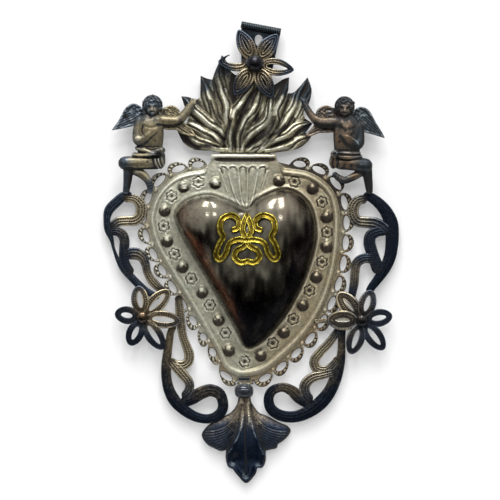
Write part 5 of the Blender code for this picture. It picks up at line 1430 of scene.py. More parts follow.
def flower(name, middle, petals, gold, kind, rivet):
    """One flower and its ball. rivet gives the ball's radius, squash, pits and warmth."""
    back, hub, pointed, rows, base = kind
    meshes = [hub_disc(middle, hub, back, PETAL_THICKNESS)]
    for number, row in enumerate(petals):
        meshes.append(petal(middle, row, hub, back + PETAL_STEP * number, pointed, rows, gold, base))
    piece(name + "_petals", meshes, bronze_metal, name, angle=70)
    radius, squash, pits, warmth = rivet
    meshes = ball(middle, radius, back + PETAL_THICKNESS + 0.8, squash, pits, back, warmth)
    piece(name + "_rivet", meshes, ball_metal, name + "_ball")


flower("left_rosette", (-51.6, -33.6), LEFT_PETALS, LEFT_GOLD, SIDE_FLOWER, (2.9, 0.62, 0.05, 0.6))
flower("right_rosette", (57.8, -35.2), RIGHT_PETALS, RIGHT_GOLD, SIDE_FLOWER, (2.9, 0.62, 0.05, 0.1))
flower("top_rosette", TOP_MIDDLE, TOP_PETALS, TOP_GOLD, TOP_FLOWER, (4.45, 0.98, 0.02, -0.1))

# %% [markdown]
# ## The flames
# Flames burst out over the neck: long tongues, each chased with two or three sharp ridges, and deep dark
# folds between them. The outline is sawn first, with true corners at the tips. Then every spot of the sheet
# is raised by the highest tongue that passes over it.

# %% Outline and tongues of the flames


def cornered(points, corners):
    """A closed outline that is smooth between the corners with these numbers."""
    count = len(points)
    parts = []
    for start, end in zip(corners, (*corners[1:], corners[0] + count)):
        span = [points[index % count] for index in range(start, end + 1)]
        parts.append((smooth(span) if len(span) > 2 else evenly(np.array(span, float), 0.5))[:-1])
    return np.vstack(parts)


FLAME_PLATE = (
    (-12, 48.6), (-19, 49.6), (-26.5, 50.4), (-31.2, 53.6), (-34.4, 59.6), (-30, 63), (-28.6, 68),
    (-30.4, 71), (-32.4, 76.8), (-29.4, 76.6), (-24.6, 75.2), (-22.9, 76.4), (-22.7, 87.2),
    (-19.6, 85.8), (-16.9, 85.2), (-15.6, 89), (-14.2, 92.4), (-12, 97.6), (-9.8, 94.4), (-6, 88),
    (4.6, 84.6), (12, 82), (18.6, 85.4), (21.6, 86.4), (21.2, 80.4), (20.6, 78.2), (24.6, 79.4),
    (30.8, 86.4), (32.8, 80), (31.4, 73.2), (28.8, 69), (29.4, 65.8), (33.4, 63.4), (29.6, 58.4),
    (33.2, 57.6), (30.4, 53.8), (25, 50.4), (14, 48.6),
)
FLAME_CORNERS = (0, 4, 8, 10, 11, 12, 14, 17, 23, 25, 27, 31, 32, 33, 34, 37)
FLAME_PINHOLE = (-10.3, 80.5, 0.5)
# Each tongue: x, y, width and how high it stands
TONGUES = (
    ((-10.5, 50.4, 3.6, 1.4), (-18, 52, 6, 2), (-25, 54, 5.6, 1), (-31, 57.6, 4, 0.7),
     (-33.8, 60, 1.6, 0.3)),
    ((-9.8, 53, 4, 1.8), (-17, 57, 5.4, 2.6), (-24, 60.6, 4.8, 1.1), (-30.4, 64.4, 3, 0.6)),
    ((-9.4, 55.4, 4, 2), (-15.2, 60.4, 5.2, 3), (-21.6, 66.4, 5.4, 2), (-27, 71.8, 4.6, 0.9),
     (-31.7, 76.4, 1.4, 0.3)),
    ((-10, 58, 4, 2.4), (-14, 66, 5.4, 3.2), (-18.2, 75, 5.4, 2.4), (-21, 82, 3.6, 1.2),
     (-22.5, 86.8, 1.2, 0.3)),
    ((-8.6, 59, 4, 2.4), (-9.8, 68, 5.4, 3), (-12, 77, 5.4, 1.6), (-13.6, 87, 4.6, 1),
     (-12.2, 97.2, 1.2, 0.3)),
    ((-8.2, 50.4, 3.6, 2), (-8.4, 58, 4.6, 3.2), (-6, 67, 5, 2.8), (-0.6, 75.6, 4.8, 1.6),
     (3.8, 83.8, 1.8, 0.5)),
    ((-4.6, 50.4, 3.6, 2), (-3.4, 58, 5, 3.4), (1.6, 67, 5, 3), (5.4, 75.6, 4.4, 1.6),
     (7.4, 83.6, 1.6, 0.5)),
    ((-1.4, 50.4, 3.6, 2), (2.6, 57.2, 5.4, 3.4), (8.6, 62.6, 5.4, 3.2), (12, 70, 4.4, 2.4),
     (12.8, 77.4, 1.8, 0.8)),
    ((2.6, 50.4, 3.6, 2), (9.2, 56.4, 5.4, 3.2), (14.8, 62.6, 5.4, 3), (16.4, 71, 5.4, 2.2),
     (19, 79, 4, 1.2), (21.2, 85.8, 1.4, 0.3)),
    ((7.4, 50.4, 3.6, 1.8), (15.4, 57.4, 5.4, 3), (20.6, 65, 5.4, 2.4), (24.2, 74, 5, 0.9),
     (27.6, 81, 3.8, 0.8), (30.6, 86, 1.2, 0.3)),
    ((25.6, 68, 3.4, 0.7), (29.6, 75.4, 4.8, 0.9), (31.4, 81, 2.8, 0.6), (30.9, 85.6, 1.2, 0.3)),
    ((9.8, 51.6, 4, 1.6), (18, 56.6, 5.4, 2.6), (25, 60.8, 4.8, 1), (32.4, 63.4, 1.8, 0.5)),
    ((11.4, 50.2, 3.4, 1.4), (19.6, 52, 5.4, 2), (27, 54.8, 4.4, 0.9), (32.6, 57.4, 1.6, 0.3)),
)
# Each cool tip: x, y and radius
TIPS = ((-33, 58, 4), (-31.5, 76, 4.5), (-22.6, 84, 5), (-13, 94, 6), (20.8, 83, 5),
        (30.6, 81, 6.5), (31, 60, 3.5))
TOP_STAND = 1.6
FLAME_ROOT = (-2, 36)
FAN_LINES = 42
FLAME_CELL = 0.34
# Each fold: its line and its width
FOLDS = (
    (((-9.8, 49.5), (-10.8, 54), (-9.6, 59), (-7.4, 64.5)), 1.1),
    (((-5, 50), (-5.6, 55), (-4.4, 61), (-2.4, 66)), 0.9),
    (((-0.4, 50.2), (2.6, 53.6), (8, 56), (12.6, 60.6), (14.4, 66)), 1),
    (((-12.6, 50.6), (-18, 51.6), (-25, 51.8), (-30.6, 54.6)), 1.4),
    (((10.6, 50.4), (16, 52.6), (23, 55.4)), 0.8),
    (((-12.4, 62.4), (-15.4, 67), (-17.6, 74)), 0.7), (((15, 60.6), (18, 66.4), (20.6, 74)), 0.8),
    (((12.4, 56.4), (15.4, 58.6), (19.4, 61.6)), 1.1), (((-3, 67), (-0.6, 72), (2.6, 78)), 0.6),
)

print("flame tongues:", len(TONGUES), "and folds:", len(FOLDS))

# %% Tongues raised from the sheet
tongue_lines = [evenly(smooth(points), 0.5) for points in TONGUES]


def flame_relief(x, y, edge):
    """Every spot belongs to the highest tongue over it. Folds cut in, and the tips are bluer."""
    best = np.full(len(x), -1.0)
    fan = np.arctan2(x - FLAME_ROOT[0], y - FLAME_ROOT[1])
    comb = np.cos(FAN_LINES * fan + 1.5 * np.sin(y / 5.5))
    rise = -0.15 + 0.2 * comb
    clean = 0.38 + 0.4 * comb
    for number, line in enumerate(tongue_lines):
        across, along, gap, spot = beside(x, y, line)
        half = line[spot, 2] / 2 * 1.36
        u = np.clip(across / half, -1, 1)
        over = (gap < half) & (np.abs(across) < half)
        crest = line[spot, 3] * (1 - np.abs(u) ** 1.5)
        sway = 0.28 * np.sin(along / 4.6 + 1.9 * number) + 0.1 * np.sin(along / 1.9 + number)
        side = 1 if number % 2 else -1
        main = ridge(u - sway, 0.42)
        second = ridge(u - sway - 0.66 * side, 0.17)
        fold = ridge(u - sway - 0.42 * side, 0.12)
        shade = ridge(u - sway + 0.62 * side, 0.2)
        chased = 0.42 * main + 0.2 * second - 0.55 * fold - 0.3 * shade
        height = crest + chased * np.clip(half / 2.4, 0.3, 1)
        wins = over & (height > best)
        best = np.where(wins, height, best)
        rise = np.where(wins, height, rise)
        tone = 0.46 + 0.52 * main + 0.42 * second - 0.7 * fold - 0.42 * shade
        tone -= 0.6 * step_up(np.abs(u), 0.72, 1.0)
        clean = np.where(wins, tone, clean)
    for points, width in FOLDS:
        gap = beside(x, y, evenly(smooth(points), 0.4))[2]
        deep = ridge(gap, width) * step_up(y, 49.2, 52.5)
        rise -= 0.6 * deep
        clean = clean * (1 - 0.88 * deep)
    under_flower = step_up(22.0 - np.hypot(x - TOP_MIDDLE[0], y - TOP_MIDDLE[1]), 0.0, 3.0)
    rise = rise * (1 - under_flower) + np.minimum(rise, TOP_STAND) * under_flower
    rise += 0.06 * speckle(x, y, 1.6)
    # The sheet under the top flower is painted darker, as painted shade.
    clean += 0.1 * speckle(x, y, 3.0, 2.0) + 0.12 * comb * (1 - under_flower) - 0.2 * under_flower
    clean += 0.3 * (1 - step_up(y, 48.8, 52.0)) - 0.12 * step_up(y, 50, 52) * step_up(64 - y, 0, 5)
    warmth = 0.6 + 0.35 * ridge(np.hypot(x - 26, y - 63), 7.0)
    for a, b, radius in TIPS:
        at_tip = near_spot(x, y, a, b, radius)
        warmth -= 1.1 * at_tip
        clean -= 0.3 * at_tip
    depth = SECOND_FRONT + rise * np.sqrt(np.clip(edge / 1.2, 0.02, 1))
    return np.maximum(depth, SECOND_BACK + 0.35), clean, warmth


pinhole_turn = ring_turns(12)
pinhole = np.column_stack([np.cos(pinhole_turn), np.sin(pinhole_turn)]) * FLAME_PINHOLE[2] + FLAME_PINHOLE[:2]
flame_rings = [cornered(FLAME_PLATE, FLAME_CORNERS), pinhole]
flame_metal = aged_metal("flame_brass", ((42, 50, 56), (104, 114, 120)), ((142, 134, 108), (226, 222, 196)),
                         (24, 18, 13), 0.42, 0.35, 0.35, 8.0, 0.66)
flame_mesh = cut_sheet(flame_rings, FLAME_CELL, flame_relief, SECOND_BACK)
piece("flames_chased", [flame_mesh], flame_metal, "flame_burst", angle=70)

# %% [markdown]
# ## The hanging tab
# Behind the top flower a tab of dark sheet carries the whole ornament. Its upper edge is rolled round a
# wire, which makes it stiff, and the nail goes through the drop-shaped hole under the roll.

# %% Tab
TAB_OUTLINE = ((-2.4, 112.8), (17.4, 109.1), (15.4, 100.4), (13.6, 92.0), (11.6, 80.0), (-2.0, 80.0),
               (-2.4, 92.0))
ROLL_RADIUS = 1.72
ROLL_SHIFT = 0.04
ROLL_STATIONS = 150
ROLL_COLUMNS = (40, 1)
TAB_CELL = 0.4
# Middle x and y, half the width and half the height
NAIL_HOLE = (6.3, 104.95, 2.2, 2.9)


def tab_relief(x, y, edge):
    """A faint raised rim and waves."""
    depth = SHEET - 0.12 + 0.08 * speckle(x, y, 6.0) + 0.1 * ridge(edge - 0.5, 0.4)
    return depth, 0.42 + 0.35 * ridge(edge - 0.4, 0.4) + 0.1 * speckle(x, y, 3.0, 1.0), 0.12


hole_x, hole_y, hole_half, hole_tall = NAIL_HOLE
drop = ring_turns(40)
drop_width = hole_half * (1 - 0.28 * (1 - np.sin(drop)) / 2)
nail_ring = np.column_stack([hole_x + drop_width * np.cos(drop), hole_y + hole_tall * np.sin(drop)])
tab_ring = evenly(np.array(TAB_OUTLINE), 0.8, closed=True)
tab_mesh = cut_sheet([tab_ring, nail_ring], TAB_CELL, tab_relief, 0.0)
print("nail hole", 2 * hole_half, "mm wide")

# %% Rolled edge of the tab
roll_start, roll_end = (np.array(point) for point in TAB_OUTLINE[:2])
roll_length = np.linalg.norm(roll_end - roll_start)
roll_ahead = (roll_end - roll_start) / roll_length
roll_side = np.array((-roll_ahead[1], roll_ahead[0]))


def roll_place(s, t, is_front):
    """The roll's net: once round the wire, with fine ribs and the seam of the sheet's edge."""
    turn = np.where(is_front, (t + 1) * np.pi, 0.0)
    ribs = 0.07 * np.cos(2 * np.pi * s * roll_length / 0.9)
    seam = -0.22 * ridge(turn - 4.4, 0.12)
    radius = ROLL_RADIUS - 0.09 + ribs + seam
    lift = np.cos(turn) * radius + ROLL_SHIFT
    x, y = (roll_start + (s * roll_length)[:, None] * roll_ahead + lift[:, None] * roll_side).T
    return x, y, ROLL_RADIUS + 0.02 + np.sin(turn) * radius, 0.52 + 5.0 * ribs + 1.2 * seam, 0.08


roll_mesh = bent_sheet(ROLL_STATIONS, *ROLL_COLUMNS, roll_place)
slate_metal = aged_metal("slate_brass", ((36, 44, 50), (106, 119, 125)), ((88, 77, 57), (152, 138, 106)),
                         (16, 17, 19), 0.42, 0.35, 0.4, 6.0, 0.9)
piece("tab_rolled", [tab_mesh, roll_mesh], slate_metal, "hanging_tab", angle=50)

# %% [markdown]
# ## The leaf
# An acanthus leaf hangs under the heart's tip. Its middle lobe is smooth with one deep vein, and the side
# lobes are combed with curved ribs that run out of the stem. Only the top rib is drawn. The others repeat
# it below itself at even steps, so one cosine of the height under it makes them all.

# %% Leaf
LEAF_OUTLINE = (
    (-3.8, -68.9), (-4, -75), (-5.2, -78.4), (-7.7, -81.4), (-11, -83.2), (-16.5, -86), (-20.3, -89.1),
    (-22.2, -92.9), (-19.6, -97.2), (-16, -99.3), (-12.7, -100.7), (-10, -100.2), (-10.2, -104),
    (-9.2, -108.2), (-6.6, -109.8), (-4.3, -112.8), (0.1, -116.7), (4.5, -112.6), (5.7, -109.2),
    (8.4, -108.8), (9.9, -105.2), (9.9, -100.6), (12.6, -99.9), (15.3, -99.2), (16, -97.3),
    (19.7, -94.6), (22.3, -90.9), (21, -88.3), (16, -86), (10.3, -83), (6.5, -81.4), (3.8, -78),
    (2.4, -75), (2, -68.9),
)
LEAF_CORNERS = (0, 11, 14, 18, 21, 24, 33)
LEAF_VALLEYS = (
    ((-2.4, -78), (-3.4, -85), (-5.4, -92), (-8, -97), (-10, -100.4)),
    ((2.2, -78), (3.8, -85), (6, -91.5), (8.4, -97), (9.9, -100.6)),
)
LEAF_VEIN = ((-0.8, -72), (-0.6, -90), (0, -112.5))
TOP_RIB = ((0.6, -71), (1.2, -76), (4, -82.2), (9, -87.8), (14, -90.2), (19, -90.9), (24, -90.6))
RIB_STEP = 1.3
RIBS = 9
LEAF_CELL = 0.3
# Cups near the tips of the middle lobe, raised a little and painted lighter as highlights: x, y and radius
LEAF_HIGHLIGHT_CUPS = ((-7.0, -107.0, 2.0), (5.9, -107.4, 1.9), (0.0, -113.2, 2.2))
leaf_valleys = [evenly(smooth(points), 0.4) for points in LEAF_VALLEYS]
leaf_vein = evenly(smooth(LEAF_VEIN), 0.4)
top_rib = evenly(smooth(TOP_RIB), 0.4)


leaf_ring = cornered(LEAF_OUTLINE, LEAF_CORNERS)


def leaf_stand(x, y):
    """How far the leaf's sheet stands out from the wall."""
    bulge = np.exp(-((y + 98) / 14.0) ** 2) * (1 - 0.35 * np.clip(np.abs(x) / 22, 0, 1))
    return 3.5 * bulge


def leaf_swell(edge):
    """0 at the leaf's edge and 1 from 7 mm inside it, so that the sheet curves back to the wall."""
    return round_top(1 - np.clip(edge / 7.0, 0, 1))


def leaf_back(x, y):
    """Distance of the leaf's rear side from the wall."""
    return leaf_stand(x, y) * leaf_swell(edge_distance(x, y, [leaf_ring])[0])


def leaf_relief(x, y, edge):
    """Ribs, veins, the stem's lines and the cups of the middle lobe, which carry painted highlights."""
    swell = leaf_swell(edge)
    valley = np.full(len(x), 99.0)
    in_side = np.zeros(len(x), bool)
    for line, side in zip(leaf_valleys, (-1, 1)):
        measured = beside(x, y, line)
        across, gap = measured[0], measured[2]
        valley = np.minimum(valley, gap)
        in_side |= (np.abs(across) == gap) & (across * side > 0) & (x * side > 0)
        in_side |= (x * side > 10) & (y > -101)
    vein = beside(x, y, leaf_vein)[2]
    below = (np.interp(np.abs(x + 0.3), top_rib[:, 0], top_rib[:, 1]) - y) / RIB_STEP
    combed = step_up(below, -0.9, -0.2) * step_up(RIBS - below, 0.0, 1.2) * step_up(np.abs(x + 0.3), 0.9, 2.2)
    combed *= np.where(in_side, 1.0, step_up(y, -93, -85))
    rib = np.cos(2 * np.pi * below)
    stem = step_up(y, -92, -80)
    stem_lines = 0.28 * ridge(x + 2.6, 0.5) + 0.26 * ridge(x - 1.3, 0.45) - 0.25 * ridge(x - 0.3, 0.35)
    rise = 0.3 * combed * rib - 0.75 * ridge(valley, 0.8) * (1 - 0.5 * stem) - 0.5 * ridge(vein, 0.5)
    rise += stem * stem_lines + 0.3 * ridge(vein - 1.4, 0.7) * (1 - stem)
    rise += 0.35 * ridge(valley - 1.6, 0.8) * ~in_side * (1 - stem)
    rise -= 0.7 * np.clip(1 - edge / 1.8, 0, 1) ** 2 + 0.25 * ridge(edge - 2.2, 0.8) * ~in_side * (1 - stem)
    depth = leaf_stand(x, y) * swell + SHEET + rise * np.clip(edge / 0.8, 0.1, 1) * (0.35 + 0.65 * swell)
    clean = 0.5 + 0.42 * combed * rib - 0.6 * ridge(valley, 0.7) - 0.6 * ridge(vein, 0.4)
    clean += 1.2 * stem * stem_lines + 0.4 * ridge(valley - 1.7, 0.6) * ~in_side
    clean += 0.1 * speckle(x, y, 3.0) - 0.45 * ridge(edge - 0.3, 0.6)
    clean += (0.14 + 0.3 * speckle(x, y, 4.0, 9.0)) * ~in_side * (1 - stem)
    clean -= 0.18 * (1 - stem) * ~in_side - 0.1 * stem
    # Each cup is raised a little and painted lighter, as a painted highlight.
    for a, b, radius in LEAF_HIGHLIGHT_CUPS:
        cup_and_highlight = near_spot(x, y, a, b, radius)
        depth = depth + 0.2 * cup_and_highlight * np.clip(edge / 1.2, 0, 1)
        clean = clean + 0.5 * cup_and_highlight
    clean -= 0.15 * in_side * (1 - stem)
    warmth = 0.04 + 0.72 * step_up(y, -93, -79) + 0.16 * combed * step_up(y, -99, -90)
    return np.maximum(depth, 0.4 + leaf_stand(x, y) * swell), clean, warmth


leaf_metal = aged_metal("leaf_brass", ((26, 38, 56), (116, 128, 136)), ((116, 106, 90), (178, 166, 142)),
                        (12, 13, 17), 0.27, 0.35, 0.3, 7.0, 0.85)
leaf_mesh = cut_sheet([leaf_ring], LEAF_CELL, leaf_relief, leaf_back)
piece("leaf_pressed", [leaf_mesh], leaf_metal, "acanthus_leaf", angle=70)

# %% [markdown]
# ## The collar
# A small barrel covers the joint between the lace and the leaf. It starts as a sphere that is squared
# towards a barrel and pinched by one fold. The end of the leaf's strap goes with it: a small bar that
# fills the slot in the lace's tail.

# %% Collar
COLLAR_MIDDLE = (-1.0, -70.5)
COLLAR_SIZE = (9.5, 7.7, 4.5)
# Powers under 1 move the sphere's points outward, towards a box
COLLAR_SQUARING = (0.82, 0.72, 0.95)
COLLAR_FOLD = -69.2
STRAP_END = (5.7, 1.35, 0.5)
STRAP_LIFT = 0.4


def collar_barrel():
    """The barrel, flat behind and pinched by its fold."""
    bm = bmesh.new()
    bmesh.ops.create_uvsphere(bm, u_segments=96, v_segments=64, radius=1.0)
    mesh, flat = as_mesh(bm, "collar")
    flat = np.sign(flat) * np.abs(flat) ** np.array(COLLAR_SQUARING)
    y = COLLAR_MIDDLE[1] + flat[:, 1] * COLLAR_SIZE[1] / 2
    fold = ridge(y - COLLAR_FOLD, 0.35)
    narrow = 1 - 0.16 * step_up(y, COLLAR_FOLD, -66.6) - 0.02 * fold
    x = COLLAR_MIDDLE[0] + flat[:, 0] * COLLAR_SIZE[0] / 2 * narrow
    depth = np.maximum(flat[:, 2], 0) * (COLLAR_SIZE[2] - 0.2 * fold) * narrow
    depth *= 1 + 0.02 * speckle(x, y, 1.5)
    # The upper half of the barrel is painted lighter, as painted light.
    clean = 0.5 + 0.35 * step_up(y, -70.5, -67) - 0.25 * fold + 0.15 * speckle(x, y, 1.2)
    return closed_mesh(bm, mesh, on_wall(x, y, SECOND_BACK + depth), np.clip(clean, 0, 1), 0.15)


def strap_end():
    """The end of the leaf's strap in the lace's slot."""
    bm = bmesh.new()
    bmesh.ops.create_cube(bm, size=1.0)
    bmesh.ops.scale(bm, verts=bm.verts, vec=STRAP_END)
    bmesh.ops.bevel(bm, geom=bm.edges[:], offset=0.15, segments=2, profile=0.5, affect='EDGES', material=-1)
    mesh, flat = as_mesh(bm, "strap")
    points = on_wall(flat[:, 0] + SLOT_MIDDLE[0], flat[:, 1] + SLOT_MIDDLE[1], flat[:, 2] + STRAP_LIFT)
    return closed_mesh(bm, mesh, points, 0.3, 0.1)


collar_metal = aged_metal("collar_metal", ((62, 66, 72), (156, 162, 168)), ((100, 88, 68), (158, 146, 118)),
                          (16, 15, 15), 0.26, 0.4, 0.35, 3.0, 0.72)
piece("collar_barrel", [collar_barrel(), strap_end()], collar_metal, "leaf_collar", angle=60)

# %% [markdown]
# ## The two putti
# The winged children are small castings. A modeller would roll each limb from wax, press the limbs
# together, smooth the joints and then draw folds and fingers with a point. The cells below do the same:
# strings of balls make the limbs, a voxel remesh melts them into one skin, a few smoothing passes soften
# it, and drawn strokes push the skin in or out. The difference between the skin and a much smoother copy
# shows where the creases are, and dirt gathers there. The hair is many short locks, swept round the head.

# %% Wax figure
BODY_BACK = THIRD_BACK + 0.4
LIMB_FLATNESS = 0.74
VOXEL = 0.27
MELT_PASSES = 3
CREASE_PASSES = 14
# Skull and face: offset and half sizes as shares of the head's size
HEAD_PARTS = ((0.0, 0.0, 0.0, 0.96, 1.0, 0.66), (0.0, -0.34, 0.12, 0.66, 0.74, 0.64))
# Turned by this angle each time, spots spread evenly over a disc
GOLDEN_ANGLE = 2.39996


def through(points):
    """A smooth curve through the points, or a straight line where there are only two."""
    return smooth(points) if len(points) > 2 else np.array(points, float)


def pellets(bm, points, spacing):
    """A string of balls along x, y, depth and radius, a little flattened towards the wall."""
    for x, y, depth, radius in evenly(through(points), spacing):
        size = Matrix.Diagonal((radius, radius, radius * LIMB_FLATNESS, 1.0))
        shape = Matrix.Translation((x, y, depth)) @ size
        bmesh.ops.create_icosphere(bm, subdivisions=2, radius=1.0, matrix=shape)


def head(bm, middle, depth, size, locks):
    """A skull, a full face in front of it, and short locks of hair all round the face."""
    x, y = middle
    for dx, dy, dz, rx, ry, rz in HEAD_PARTS:
        place = Matrix.Translation((x + dx * size, y + dy * size, depth + dz * size))
        shape = place @ Matrix.Diagonal((rx * size, ry * size, rz * size, 1.0))
        bmesh.ops.create_icosphere(bm, subdivisions=4, radius=1.0, matrix=shape)
    for number in range(locks):
        turn = number * GOLDEN_ANGLE
        far = math.sqrt((number + 0.5) / locks)
        a, b = 0.9 * far * math.cos(turn), 0.9 * far * math.sin(turn)
        if math.hypot(a / 0.62, (b + 0.36) / 0.74) < 1.0:
            continue
        stand = 0.66 * math.sqrt(max(0.0, 1 - a * a - b * b))
        place = Matrix.Translation((x + a * size, y + b * size, depth + stand * size))
        sweep = Matrix.Rotation(math.atan2(b, a) + math.pi / 2 + 0.5 * math.sin(3 * turn), 4, 'Z')
        lock = place @ sweep @ Matrix.Diagonal((0.25 * size, 0.11 * size, 0.13 * size, 1.0))
        bmesh.ops.create_icosphere(bm, subdivisions=2, radius=1.0, matrix=lock)


def softened(bm, passes):
    """Evens the skin out a little with each pass."""
    every_way = {"use_axis_x": True, "use_axis_y": True, "use_axis_z": True}
    for _ in range(passes):
        bmesh.ops.smooth_vert(bm, verts=bm.verts, factor=0.5, **every_way)


def melted(bm):
    """One skin around everything in the bmesh, softened a little."""
    mesh = as_mesh(bm, "wax")[0]
    item = linked("wax", mesh)
    modifier = item.modifiers.new("melt", 'REMESH')
    modifier.mode = 'VOXEL'
    modifier.voxel_size = VOXEL
    skin = bpy.data.meshes.new_from_object(item.evaluated_get(bpy.context.evaluated_depsgraph_get()))
    bpy.data.objects.remove(item)
    bpy.data.meshes.remove(mesh)
    bm.clear()
    bm.from_mesh(skin)
    softened(bm, MELT_PASSES)
    return skin


def coordinates(bm):
    """Places of the bmesh's points."""
    return np.array([vert.co[:] for vert in bm.verts])


print("wax is melted to cells of", VOXEL, "mm")

# %% A plain face
# Each stroke is a drawn line: points, width, how far it pushes the skin, and how much cleaner or lighter
# it makes it, for wear or as painted light and shade. Each dab is round: x, y, radius, push and the same
# lightness.
FACE_DABS = (
    (-1.45, 0.55, 0.75, -0.55, -0.85), (1.45, 0.55, 0.75, -0.55, -0.85), (-1.4, 0.5, 0.38, 0.35, 0.5),
    (1.4, 0.5, 0.38, 0.35, 0.5), (0, 0.5, 0.42, 0.3, 0.1), (0, -0.1, 0.42, 0.5, 0.25),
    (0, -0.6, 0.5, 0.65, 0.4), (-0.55, -0.8, 0.28, 0.2, 0.1), (0.55, -0.8, 0.28, 0.2, 0.1),
    (-1.75, -0.9, 0.95, 0.4, 0.25), (1.75, -0.9, 0.95, 0.4, 0.25), (0, -3, 0.85, 0.5, 0.3),
    (0, -1.95, 0.45, 0.12, 0.1),
)
FACE_STROKES = (
    (((-2.4, 1.2), (-1.5, 1.75), (-0.5, 1.4)), 0.34, 0.24, 0.25),
    (((0.5, 1.4), (1.5, 1.75), (2.4, 1.2)), 0.34, 0.24, 0.25),
    (((-0.95, -1.55), (0, -1.75), (0.95, -1.55)), 0.26, -0.35, -0.8),
    (((-0.8, -2.05), (0, -2.3), (0.8, -2.05)), 0.3, 0.16, 0.15),
    (((-2.7, -0.6), (-2.5, -2.3), (-1.4, -3.4)), 0.5, -0.2, -0.5),
    (((2.7, -0.6), (2.5, -2.3), (1.4, -3.4)), 0.5, -0.2, -0.5),
)
print("strokes of the face:", len(FACE_STROKES))

